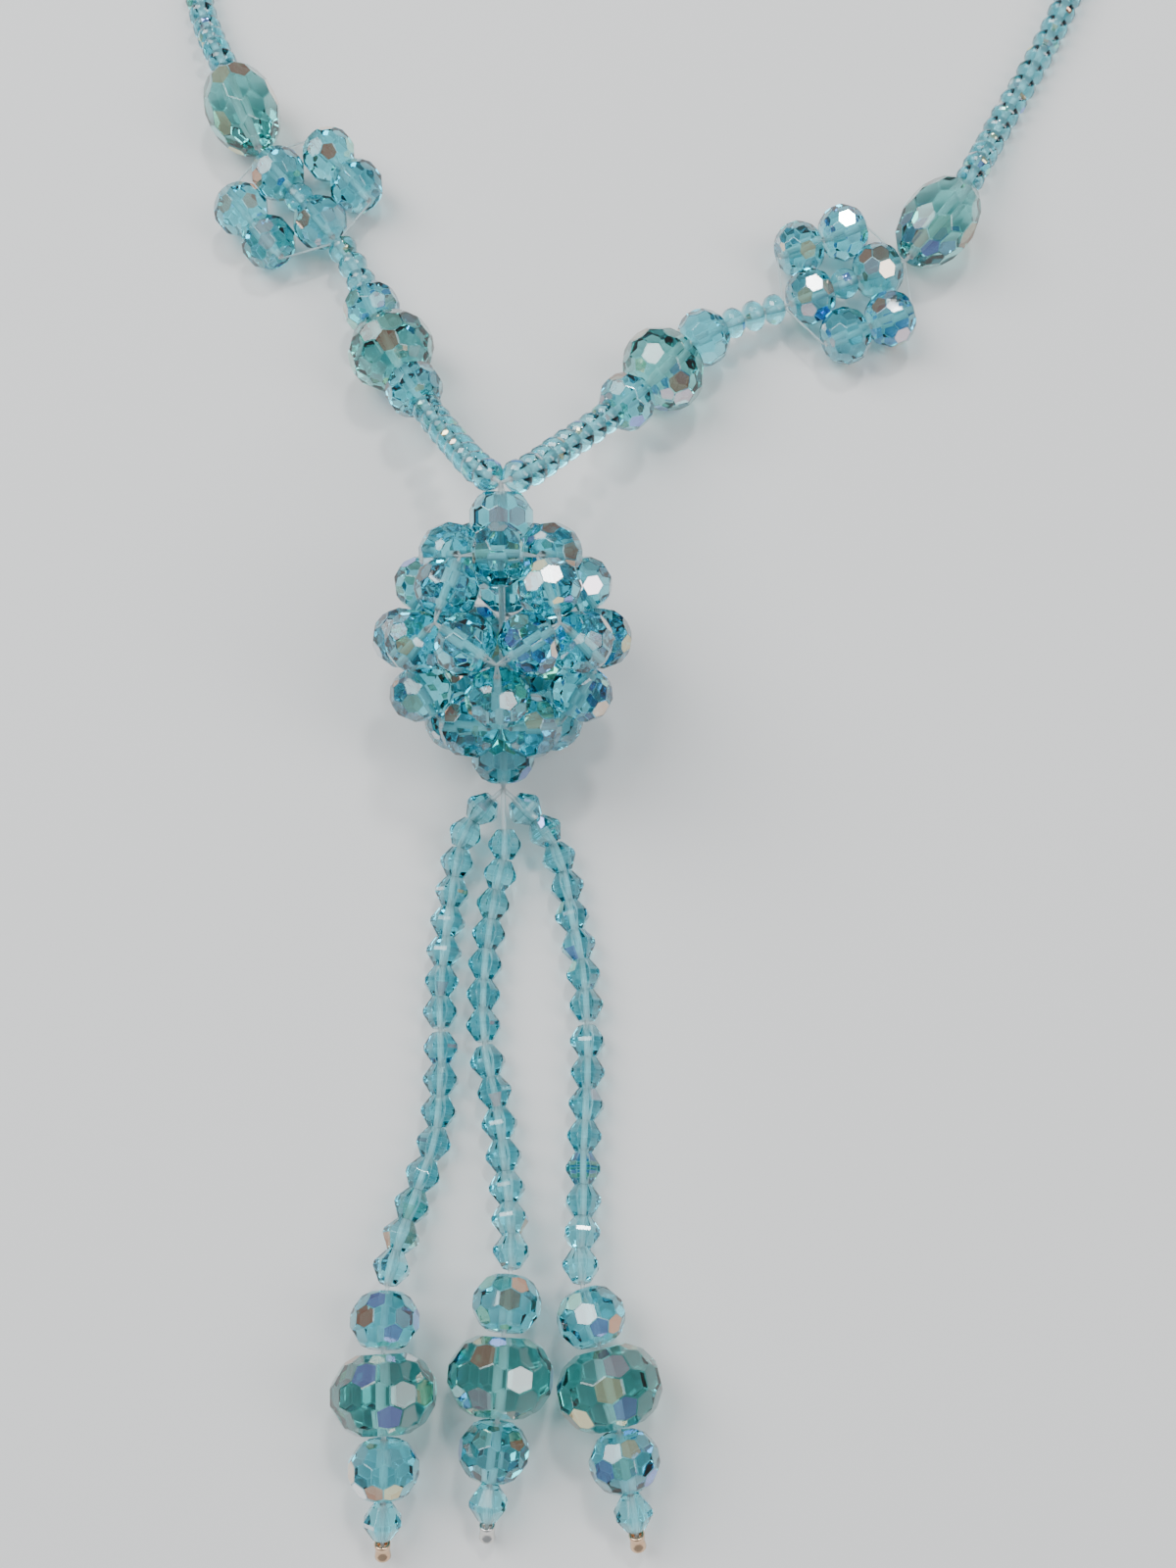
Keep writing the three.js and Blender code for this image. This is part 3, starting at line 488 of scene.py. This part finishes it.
def corners(radius, height, turned):
    """Five corners round the ball's axis."""
    return [
        ball_centre
        + BALL_SIDE * radius * math.sin((i + turned) * FIFTH)
        + BALL_UP * radius * math.cos((i + turned) * FIFTH)
        + BALL_AXIS * height * BALL_EDGE
        for i in range(5)
    ]


top = corners(CAP_RADIUS, FACE_HEIGHT, 0.5)
upper = corners(BELT_RADIUS, BELT_CORNER_HEIGHT, 0.5)
lower = corners(BELT_RADIUS, -BELT_CORNER_HEIGHT, 1)
bottom = corners(CAP_RADIUS, -FACE_HEIGHT, 1)
following = [1, 2, 3, 4, 0]
WOVEN = {
    "ball_top_ring": [(top[i], top[following[i]]) for i in range(5)],
    "ball_middle_band": [(top[i], upper[i]) for i in range(5)]
    + [(upper[i], lower[i]) for i in range(5)]
    + [(lower[i], upper[following[i]]) for i in range(5)]
    + [(lower[i], bottom[i]) for i in range(5)],
    "ball_bottom_ring": [(bottom[i], bottom[following[i]]) for i in range(5)],
}
WEAVE_THREAD = 0.3  # diameter of each of the two
WEAVE_OFFSET = 0.25 * MM  # of the two from the middle of the bore, inward and to each side
WEAVE_SPREAD = 1.4 * MM  # from a corner to where the two part
# Painted glints: the share of facets painted with a glint of the coating.
MEDIUM_FLASHES = 0.21  # share of the facets whose coating shows
for node, edges in WOVEN.items():
    beads = [(medium_bead, end - start, (start + end) / 2) for start, end in edges]
    piece = string_beads(node + "_beads", beads, blue_glass, MEDIUM_FLASHES)
    belongs(piece, "pendant", "blue_glass", node)
    weave = []
    for start, end in edges:
        along = (end - start).normalized()
        inward = (ball_centre - (start + end) / 2).normalized() * WEAVE_OFFSET
        for offset in (-1, 1):
            beside = inward.cross(along) * offset
            inner = [start + along * WEAVE_SPREAD, end - along * WEAVE_SPREAD]
            weave.append([start + inward, *(place + beside for place in inner), end + inward])
    belongs(threads(node + "_thread", weave, WEAVE_THREAD), "pendant", "clear_thread")


# ---- Crown and base beads ----------------------------------------------------------------------
# A rondelle nests in the ring of five at each pole of the ball. The threads of all the strands
# pass through both and down the middle of the ball, where they show between the beads.
def joint_place(name):
    """Where a joint of the frame turns."""
    joint = next(joint for joint in frame["joints"] if joint["name"] == name)
    return Vector(joint["pos_m"])


def bead_line(node):
    """The direction of a bead's bore and its middle, from its CAD node."""
    points = np.array([vertex.co for vertex in frame["nodes"][node].data.vertices])
    low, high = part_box(node)
    middle = (low + high) / 2
    spread, axes = np.linalg.eigh(np.cov((points - points.mean(0)).T))
    odd = 0 if spread[1] - spread[0] > spread[2] - spread[1] else 2
    return Vector(axes[:, odd]), middle


crown = joint_place("left_leg_swing")
base = joint_place("middle_strand_lift")
POLE_FLASHES = 0.2
for node in ("crown_bead", "base_bead"):
    bead = (medium_bead, *bead_line(node))
    piece = string_beads(node + "_glass", [bead], blue_glass, POLE_FLASHES)
    belongs(piece, "pendant", "blue_glass", node)
CORE_THREADS = 3
CORE_THREAD = 0.4
CORE_OFFSET = 0.22
CORE_HEIGHTS = (18, 9, 0, -9, -18)
core = []
for number in range(CORE_THREADS):
    turn = number * TURN / CORE_THREADS
    beside = (BALL_SIDE * math.sin(turn) + BALL_UP * math.cos(turn)) * CORE_OFFSET * MM
    inside = [ball_centre + BALL_AXIS * height * MM + beside for height in CORE_HEIGHTS]
    core.append([crown, *inside, base])
core_thread = threads("ball_core_thread", core, CORE_THREAD)
belongs(core_thread, "pendant", "clear_thread", "ball_thread")


# ---- Small rondelles and bicones ---------------------------------------------------------------
# The strands are of small beads in a clear aqua glass: 4 mm rondelles with facets polished round
# on the neck strand and legs, and 4 mm bicones on the tassel, packed close on nylon thread.
SMALL_LENGTH = 3.1
BICONE_LENGTH = 3.75
FLOWER_CENTRE_LENGTH = 3.6
SMALL_BORE = 0.9
SMALL_END = 0.8  # radius of an end face
END_ROUNDING = 0.14  # what the rounded ends leave free between neighbours
SMALL_RIM = 2.02
BICONE_RIM = 2.2 * math.cos(math.pi / 8)
BICONE_SLOPE = 33
BICONE_SLANT = 1.86  # from the middle to a sloping facet
BICONE_EDGE = 0.06
SMALL_FLASHES = 0.05


def small_rows(length):
    """The rows of facets of a small rondelle."""
    return [
        (tilt, 12, turned, oblate(SMALL_RIM, SMALL_END, length / 2, tilt))
        for tilt, turned in ((0, 0), (30, 0), (56, 0))
    ]


small_cut = SMALL_LENGTH - 2 * END_ROUNDING
small_bead = cut_bead(small_cut, SMALL_RIM, small_rows(small_cut), SMALL_BORE, 0)
centre_bead = cut_bead(
    FLOWER_CENTRE_LENGTH, SMALL_RIM, small_rows(FLOWER_CENTRE_LENGTH), SMALL_BORE, 0
)
BICONE_ROWS = [(0, 8, 0, BICONE_RIM), (BICONE_SLOPE, 8, 0, BICONE_SLANT)]
bicone = cut_bead(BICONE_LENGTH, BICONE_RIM, BICONE_ROWS, SMALL_BORE, BICONE_EDGE)
for bead in (small_bead, centre_bead):
    for face in bead.polygons:
        face.use_smooth = True
AQUA_TINT = (0.2, 0.9, 0.97)
AQUA_DEPTH = 420.0
AQUA_BENDING = 1.36
aqua_glass = [
    glass_finish("aqua_crystal", AQUA_TINT, AQUA_DEPTH, AQUA_BENDING),
    bore_finish("aqua_bore"),
]


SAME_PLACE = 1e-6
EVEN = 1.03  # longest edge at the middle of an end over its shortest, at most


def follow(node, start):
    """The rings of a string's CAD node in turn from its end nearest start: (middle, radius).

    The middle of each end is the only corner that six faces share and that lies evenly in them.
    """
    string = bmesh.new()
    string.from_mesh(frame["nodes"][node].data)
    bmesh.ops.remove_doubles(string, verts=string.verts, dist=SAME_PLACE)
    poles = []
    for vertex in string.verts:
        reaches = [edge.calc_length() for edge in vertex.link_edges]
        if len(reaches) == 6 and max(reaches) < min(reaches) * EVEN:
            poles.append(vertex)
    ring = [min(poles, key=lambda pole: (pole.co - start).length)]
    seen = set(ring)
    rings = []
    while ring:
        middle = sum((vertex.co for vertex in ring), Vector()) / len(ring)
        rings.append((middle, max((vertex.co - middle).length for vertex in ring)))
        beyond = {edge.other_vert(vertex) for vertex in ring for edge in vertex.link_edges}
        ring = [vertex for vertex in beyond if vertex not in seen]
        seen.update(ring)
    string.free()
    return rings


SWELLING = 1.5 * MM  # wider than any thread, crimp or end of a bead


def strung(rings, kind, number):
    """The beads on a string: one at each swelling of the rings, as far as the number goes."""
    beads = []
    for before, here, after in zip(rings, rings[1:], rings[2:]):
        swells = here[1] > SWELLING and here[1] > max(before[1], after[1])
        if swells and len(beads) < number:
            beads.append((kind, after[0] - before[0], here[0]))
    return beads


# ---- Legs --------------------------------------------------------------------------------------
# From the crown bead a leg of small rondelles runs to each side, and ends in a trio on the same
# thread: a large rondelle between two medium ones. The large ones are of greener glass, and turn.
LEG_BEADS = 8
LARGE_DIAMETER = 12
LARGE_LENGTH = 8.4
LARGE_RIM = LARGE_DIAMETER / 2 * math.cos(math.pi / 10)
LARGE_END = LARGE_DIAMETER * RONDELLE_END
LARGE_ROWS = [
    (tilt, 12, turned, oblate(LARGE_RIM, LARGE_END, LARGE_LENGTH / 2, tilt))
    for tilt, turned in ((0, 0), (32, 0.5), (60, 0))
]
LARGE_BORE = 1.3
LARGE_EDGE = 0.1
LARGE_FLASHES = 0.2
large_bead = cut_bead(LARGE_LENGTH, LARGE_RIM, LARGE_ROWS, LARGE_BORE, LARGE_EDGE)
TEAL_TINT = (0.2, 0.85, 0.83)
TEAL_DEPTH = 165.0
teal_glass = [glass_finish("teal_crystal", TEAL_TINT, TEAL_DEPTH), bore_finish("teal_bore")]
STRAND_THREAD = 0.5
for side in ("left", "right"):
    swing = joint_place(side + "_leg_swing")
    leg_end = joint_place(side + "_flower_swing")
    rings = follow(side + "_leg_beads", swing)
    beads = strung(rings, small_bead, LEG_BEADS)
    piece = string_beads(side + "_leg_small_beads", beads, aqua_glass, SMALL_FLASHES)
    belongs(piece, side + "_leg", "aqua_glass", side + "_leg_beads")
    line = [swing, *(middle for middle, radius in rings), leg_end]
    leg_thread = threads(side + "_leg_thread", [line], STRAND_THREAD)
    belongs(leg_thread, side + "_leg", "clear_thread")
    for place in ("lower", "upper"):
        node = side + "_leg_rondelle_" + place
        bead = (medium_bead, *bead_line(node))
        piece = string_beads(node + "_glass", [bead], blue_glass, MEDIUM_FLASHES)
        belongs(piece, side + "_leg", "blue_glass", node)
    node = side + "_leg_rondelle_large"
    bead = (large_bead, *bead_line(node))
    piece = string_beads(node + "_glass", [bead], teal_glass, LARGE_FLASHES)
    belongs(piece, side + "_leg_large_bead", "teal_glass", node)


# ---- Flowers -----------------------------------------------------------------------------------
# Each leg carries a woven flower: a row of medium rondelle, small bead and medium rondelle, and two
# medium rondelles beside it on each side. Three small beads link it to the leg. Its thread goes out
# to each pair of petals and back to the row.
KNOT_REACH = MEDIUM_LENGTH / 2 + 1.1  # from a row rondelle's middle to where the threads meet
PETAL_REACH = MEDIUM_LENGTH / 2 + 0.35  # from a petal's middle to where its thread turns
LINK_BEADS = 3
for side in ("left", "right"):
    swing = joint_place(side + "_flower_swing")
    far_end = joint_place(side + "_neck_bend_1")
    body = side + "_flower"
    inner = bead_line(side + "_flower_rondelle_inner")[1]
    outer = bead_line(side + "_flower_rondelle_outer")[1]
    along = (outer - inner).normalized()
    row_and_petals = ["flower_rondelle_inner", "flower_rondelle_outer"]
    row_and_petals += [f"petal_{number}" for number in range(1, 5)]
    for name in row_and_petals:
        node = side + "_" + name
        bead = (medium_bead, along, bead_line(node)[1])
        piece = string_beads(node + "_glass", [bead], blue_glass, MEDIUM_FLASHES)
        belongs(piece, body, "blue_glass", node)
    rings = follow(side + "_flower_thread", swing)
    linked = strung(rings, small_bead, LINK_BEADS)
    link_middles = [middle for kind, way, middle in linked]
    linked.append((centre_bead, along, (inner + outer) / 2))
    piece = string_beads(side + "_flower_small_beads", linked, aqua_glass, SMALL_FLASHES)
    belongs(piece, body, "aqua_glass", side + "_flower_thread")
    knots = [inner - along * KNOT_REACH * MM, outer + along * KNOT_REACH * MM]
    row = [[swing, *link_middles, *knots, far_end]]
    lines = []
    for near, far in (("petal_1", "petal_2"), ("petal_3", "petal_4")):
        ends = [bead_line(side + "_" + near)[1], bead_line(side + "_" + far)[1]]
        out = along * PETAL_REACH * MM
        lines.append([knots[0], ends[0] - out, ends[0], ends[1], ends[1] + out, knots[1]])
    belongs(threads(side + "_flower_row_nylon", row, STRAND_THREAD), body, "clear_thread")
    belongs(threads(side + "_flower_nylon", lines, WEAVE_THREAD), body, "clear_thread")


# ---- Neck strand -------------------------------------------------------------------------------
# Above each flower an oval faceted bead of greener glass, and then the neck strand of small
# rondelles in three runs. It bends between them, and ends in a crimped loop of thread.
OVAL_DIAMETER = 10.5
OVAL_LENGTH = 13.5
OVAL_RIM = OVAL_DIAMETER / 2 * math.cos(math.pi / 10)
OVAL_END = OVAL_DIAMETER * 0.16
OVAL_ROWS = [
    (tilt, 10, turned, oblate(OVAL_RIM, OVAL_END, OVAL_LENGTH / 2, tilt))
    for tilt, turned in ((0, 0), (20, 0.5), (42, 0), (66, 0.5))
]
oval_bead = cut_bead(OVAL_LENGTH, OVAL_RIM, OVAL_ROWS, LARGE_BORE, LARGE_EDGE)
NECK_BEADS = {"left": 12, "right": 15}
SECTIONS = ("front", "middle", "end")
LOOP_RADIUS = 1.15
LOOP_STEPS = 24
CRIMPED_END = 2.2  # thread beyond the last bead, in the crimp
ends_of_neck = {}
for side, hold in (("left", "clasp_swivel"), ("right", "ring_swivel")):
    bends = [joint_place(f"{side}_neck_bend_{number}") for number in (1, 2, 3)]
    bends.append(joint_place(hold))
    node = side + "_oval_bead"
    bead = (oval_bead, *bead_line(node))
    piece = string_beads(node + "_glass", [bead], teal_glass, LARGE_FLASHES)
    belongs(piece, side + "_neck_front", "teal_glass", node)
    for number, section in enumerate(SECTIONS):
        node = f"{side}_neck_run_{number + 1}"
        body = f"{side}_neck_{section}"
        start = bends[number]
        rings = follow(node, start)
        beads = strung(rings, small_bead, NECK_BEADS[side])
        piece = string_beads(node + "_beads", beads, aqua_glass, SMALL_FLASHES)
        belongs(piece, body, "aqua_glass", node)
        middles = [middle for middle, radius in rings]
        if section == "end":
            along = beads[-1][1].normalized()
            last_end = beads[-1][2] + along * SMALL_LENGTH / 2 * MM
            ends_of_neck[side] = (last_end, along)
            reach = (last_end - start).length
            middles = [middle for middle in middles if (middle - start).length < reach]
            up = (UP - along * along.z).normalized()
            loop = []
            for step in range(LOOP_STEPS + 1):
                turn = TURN * (step / LOOP_STEPS + 0.5)
                spoke = along * math.cos(turn) + up * math.sin(turn)
                loop.append(bends[3] + spoke * LOOP_RADIUS * MM)
            lines = [[start, *middles, last_end + along * CRIMPED_END * MM], loop]
        else:
            lines = [[start, *middles, bends[number + 1]]]
        belongs(threads(node + "_nylon", lines, STRAND_THREAD), body, "clear_thread")


# ---- Crimps ------------------------------------------------------------------------------------
# Little rolled tubes of plated metal, squeezed in the middle, that hold the ends of the threads:
# one at the end of each tassel strand and one below each loop of the neck strand.
CRIMP_LENGTH = 2.0
CRIMP_RADIUS = 0.9
CRIMP_BORE = 0.6
CRIMP_SIDES = 20
SQUEEZE = 0.22  # share by which the middle is flatter
SQUEEZE_REACH = 0.45
SEAM = 1e-4  # the first and the last step of a turned shape are closer than this


def metal_finish(name, colour, worn):
    """Plated metal: a soft polish, with darker and rougher places where the plating has worn."""
    metal = Finish(name)
    place = metal.value(metal.node("TexCoord"), 3)
    patches = metal.value(metal.node("TexNoise", Vector=place, Scale=700.0, Detail=4.0), 0)
    scratches = metal.value(metal.node("TexNoise", Vector=place, Scale=4000.0, Detail=2.0), 0)
    colours = metal.node(
        "Mix", {"data_type": "RGBA"}, i0=patches, i6=(*worn, 1), i7=(*colour, 1)
    )
    bump = metal.node("Bump", Strength=0.15, Distance=0.00005, Height=scratches)
    shader = metal.node(
        "BsdfPrincipled",
        Base_Color=metal.value(colours, 2),
        Metallic=1.0,
        Roughness=0.12 + 0.2 * patches,
        Normal=metal.value(bump),
    )
    metal.node("OutputMaterial", Surface=metal.value(shader))
    return metal.material


silver_plate = metal_finish("silver_plate", (0.86, 0.85, 0.82), (0.6, 0.57, 0.53))
copper_plate = metal_finish("copper_plate", (0.93, 0.68, 0.46), (0.62, 0.36, 0.22))


def crimp(name, middle, along, finish):
    """A crimped tube: a rolled sheet, its ends flared by the squeeze in its middle."""
    tube = bmesh.new()
    # Radius, and place along the tube from one end at -1 to the other at 1.
    outline = [
        (CRIMP_BORE, -1.0),
        (CRIMP_RADIUS - 0.06, -1.0),
        (CRIMP_RADIUS, -0.88),
        (CRIMP_RADIUS - 0.04, -0.5),
        (CRIMP_RADIUS - 0.1, 0.0),
        (CRIMP_RADIUS - 0.04, 0.5),
        (CRIMP_RADIUS, 0.88),
        (CRIMP_RADIUS - 0.06, 1.0),
        (CRIMP_BORE, 1.0),
    ]
    points = [tube.verts.new((radius, end * CRIMP_LENGTH / 2, 0)) for radius, end in outline]
    edges = [tube.edges.new(pair) for pair in zip(points, points[1:] + points[:1])]
    bmesh.ops.spin(
        tube,
        geom=points + edges,
        axis=(0, 1, 0),
        cent=(0, 0, 0),
        angle=TURN,
        steps=CRIMP_SIDES,
        use_merge=True,
    )
    bmesh.ops.remove_doubles(tube, verts=tube.verts, dist=SEAM)
    # The squeeze flattens the middle from above and below.
    for vertex in tube.verts:
        squeezed = math.exp(-((vertex.co.y / SQUEEZE_REACH) ** 2))
        vertex.co.z *= 1 - SQUEEZE * squeezed
    bmesh.ops.recalc_face_normals(tube, faces=tube.faces)
    place = stand(along, middle) @ Matrix.Scale(MM, 4)
    bmesh.ops.transform(tube, matrix=place, verts=tube.verts)
    piece = finished(name, tube, [finish])
    for face in piece.data.polygons:
        face.use_smooth = True
    return piece


for side, (last_end, along) in ends_of_neck.items():
    middle = last_end + along * CRIMP_LENGTH / 2 * MM
    piece = crimp(side + "_neck_crimp", middle, along, silver_plate)
    belongs(piece, side + "_neck_end", "plated_metal")


# ---- Clasp and ring ----------------------------------------------------------------------------
# A lobster clasp of plated metal on the left end's loop: a cast body with an eye and a hook, and
# a trigger with a thumb tab that closes the hook. The right end's loop holds a closed ring of wire.
CLASP_EYE = 1.3  # radius, to the middle of its wire
EYE_WIRE = 0.8
CLASP_STEM = 5.6
STEM_HALF = 1.6
STEM_START = CLASP_EYE * 1.55
STEM_TURN = 0.98  # where the stem meets the hook's outer edge, as an angle
HOOK_OUTER = 3.4
HOOK_INNER = 2.1
HOOK_CENTRE = CLASP_EYE * 1.4 + CLASP_STEM + HOOK_INNER
MOUTH = 0.62  # half of the opening, as an angle
CLASP_HALF = 1.2  # half of its thickness
CLASP_ROUNDING = 0.4
clasp_place = stand(ends_of_neck["left"][1], joint_place("clasp_swivel"))


def arc(radius, start, end, steps):
    """Points of a circle round the hook's centre, in the plane of the clasp."""
    turns = [start + (end - start) * step / steps for step in range(steps + 1)]
    return [(radius * math.cos(turn), HOOK_CENTRE + radius * math.sin(turn)) for turn in turns]


def cast(name, outline, half, place, rounding):
    """A flat casting with rounded edges."""
    plate = bmesh.new()
    rim = [plate.verts.new((x, y, -half)) for x, y in outline]
    face = plate.faces.new(rim)
    raised = bmesh.ops.extrude_face_region(plate, geom=[face])["geom"]
    top_points = [item for item in raised if isinstance(item, bmesh.types.BMVert)]
    bmesh.ops.translate(plate, vec=(0, 0, 2 * half), verts=top_points)
    bmesh.ops.recalc_face_normals(plate, faces=plate.faces)
    rims = [edge for edge in plate.edges if edge.verts[0].co.z * edge.verts[1].co.z > 0]
    bmesh.ops.bevel(
        plate, geom=rims, offset=rounding, segments=3, profile=0.5, affect="EDGES", material=-1
    )
    bmesh.ops.transform(plate, matrix=place @ Matrix.Scale(MM, 4), verts=plate.verts)
    return finished(name, plate, [silver_plate])


RING_STEPS = 48
WIRE_SIDES = 16


def wire_ring(name, radius, wire, place):
    """A closed ring of round wire, lying flat with its edge at the place."""
    ring = bmesh.new()
    section = Matrix.Translation((radius, 0, 0)) @ Matrix.Rotation(math.pi / 2, 4, "X")
    bmesh.ops.create_circle(ring, segments=WIRE_SIDES, radius=wire / 2, matrix=section)
    bmesh.ops.spin(
        ring,
        geom=ring.verts[:] + ring.edges[:],
        axis=(0, 0, 1),
        cent=(0, 0, 0),
        angle=TURN,
        steps=RING_STEPS,
        use_merge=True,
    )
    bmesh.ops.remove_doubles(ring, verts=ring.verts, dist=SEAM)
    bmesh.ops.recalc_face_normals(ring, faces=ring.faces)
    middle = place @ Matrix.Scale(MM, 4) @ Matrix.Translation((0, radius, 0))
    bmesh.ops.transform(ring, matrix=middle, verts=ring.verts)
    piece = finished(name, ring, [silver_plate])
    for face in piece.data.polygons:
        face.use_smooth = True
    return piece


hook_outline = (
    [(-STEM_HALF, STEM_START), (STEM_HALF, STEM_START)]
    + arc(HOOK_OUTER, -STEM_TURN, -MOUTH, 4)
    + arc(HOOK_INNER, -MOUTH, MOUTH - TURN, 30)
    + arc(HOOK_OUTER, MOUTH - TURN, STEM_TURN - TURN / 2, 26)
)
piece = cast("clasp_casting", hook_outline, CLASP_HALF, clasp_place, CLASP_ROUNDING)
belongs(piece, "clasp", "plated_metal", "clasp_body")
piece = wire_ring("clasp_eye", CLASP_EYE, EYE_WIRE, clasp_place)
belongs(piece, "clasp", "plated_metal")

TRIGGER_OUTER = HOOK_OUTER - 0.3
TRIGGER_INNER = HOOK_INNER + 0.1
TRIGGER_ANGLE = MOUTH - 0.35 / HOOK_INNER  # clear of the hook on both sides
TRIGGER_HALF = CLASP_HALF * 0.92
TRIGGER_ROUNDING = 0.2
trigger_outline = arc(TRIGGER_OUTER, -TRIGGER_ANGLE, TRIGGER_ANGLE, 8)
trigger_outline += arc(TRIGGER_INNER, TRIGGER_ANGLE, -TRIGGER_ANGLE, 8)
piece = cast("clasp_lever", trigger_outline, TRIGGER_HALF, clasp_place, TRIGGER_ROUNDING)
belongs(piece, "clasp_trigger", "plated_metal", "clasp_trigger")
TAB_HALF = 0.6
TAB_ROUNDING = 0.15
# Across the clasp, and along it from the hook's centre.
TAB_CORNERS = ((2.9, -0.95), (4.05, -0.85), (4.05, -0.15), (2.9, -0.05))
tab_outline = [(across, HOOK_CENTRE + along) for across, along in TAB_CORNERS]
piece = cast("clasp_thumb_tab", tab_outline, TAB_HALF, clasp_place, TAB_ROUNDING)
belongs(piece, "clasp_trigger", "plated_metal")

RING_RADIUS = 3.0
RING_WIRE = 1.0
ring_place = stand(ends_of_neck["right"][1], joint_place("ring_swivel"))
piece = wire_ring("closed_ring", RING_RADIUS, RING_WIRE, ring_place)
belongs(piece, "clasp_ring", "plated_metal", "clasp_ring")


# ---- Tassel ------------------------------------------------------------------------------------
# Three strands of bicones hang from the base bead. Each ends in a medium, a large and a medium
# coated rondelle, a last bicone and a crimp: copper coloured at the sides, silver in the middle.
STRAND_BEADS = {"left": 8, "middle": 7, "right": 8}
MOTION = {"left": "swing", "middle": "lift", "right": "swing"}
TASSEL_THREAD = 0.6
for side, motion in MOTION.items():
    root = joint_place(f"{side}_strand_{motion}")
    bend = joint_place(side + "_strand_bend")
    drop = joint_place(f"{side}_drop_{motion}")
    for part, node, start, end in (
        ("top", "upper", root, bend),
        ("bottom", "lower", bend, drop),
    ):
        body = f"{side}_strand_{part}"
        node = f"{side}_strand_{node}"
        rings = follow(node, start)
        beads = strung(rings, bicone, STRAND_BEADS[side])
        piece = string_beads(node + "_bicones", beads, aqua_glass, SMALL_FLASHES)
        belongs(piece, body, "aqua_glass", node)
        line = [start, *(middle for middle, radius in rings), end]
        belongs(threads(node + "_nylon", [line], TASSEL_THREAD), body, "clear_thread")
    body = side + "_drop"
    for name, kind, glass, slot, share in (
        ("rondelle_upper", medium_bead, blue_glass, "blue_glass", MEDIUM_FLASHES),
        ("rondelle_large", large_bead, teal_glass, "teal_glass", LARGE_FLASHES),
        ("rondelle_lower", medium_bead, blue_glass, "blue_glass", MEDIUM_FLASHES),
        ("bicone", bicone, aqua_glass, "aqua_glass", SMALL_FLASHES),
    ):
        node = f"{side}_drop_{name}"
        piece = string_beads(node + "_glass", [(kind, *bead_line(node))], glass, share)
        rider = body + "_large_bead" if name == "rondelle_large" else body
        belongs(piece, rider, slot, node)
    rings = follow(side + "_drop_crimp", drop)
    ends = [middle for middle, radius in rings if radius > CRIMP_RADIUS * MM / 2]
    line = [drop, *(middle for middle, radius in rings)]
    belongs(threads(side + "_drop_nylon", [line], STRAND_THREAD), body, "clear_thread")
    plate = silver_plate if side == "middle" else copper_plate
    piece = crimp(side + "_crimp_tube", (ends[0] + ends[-1]) / 2, ends[-1] - ends[0], plate)
    belongs(piece, body, "plated_metal", side + "_drop_crimp")
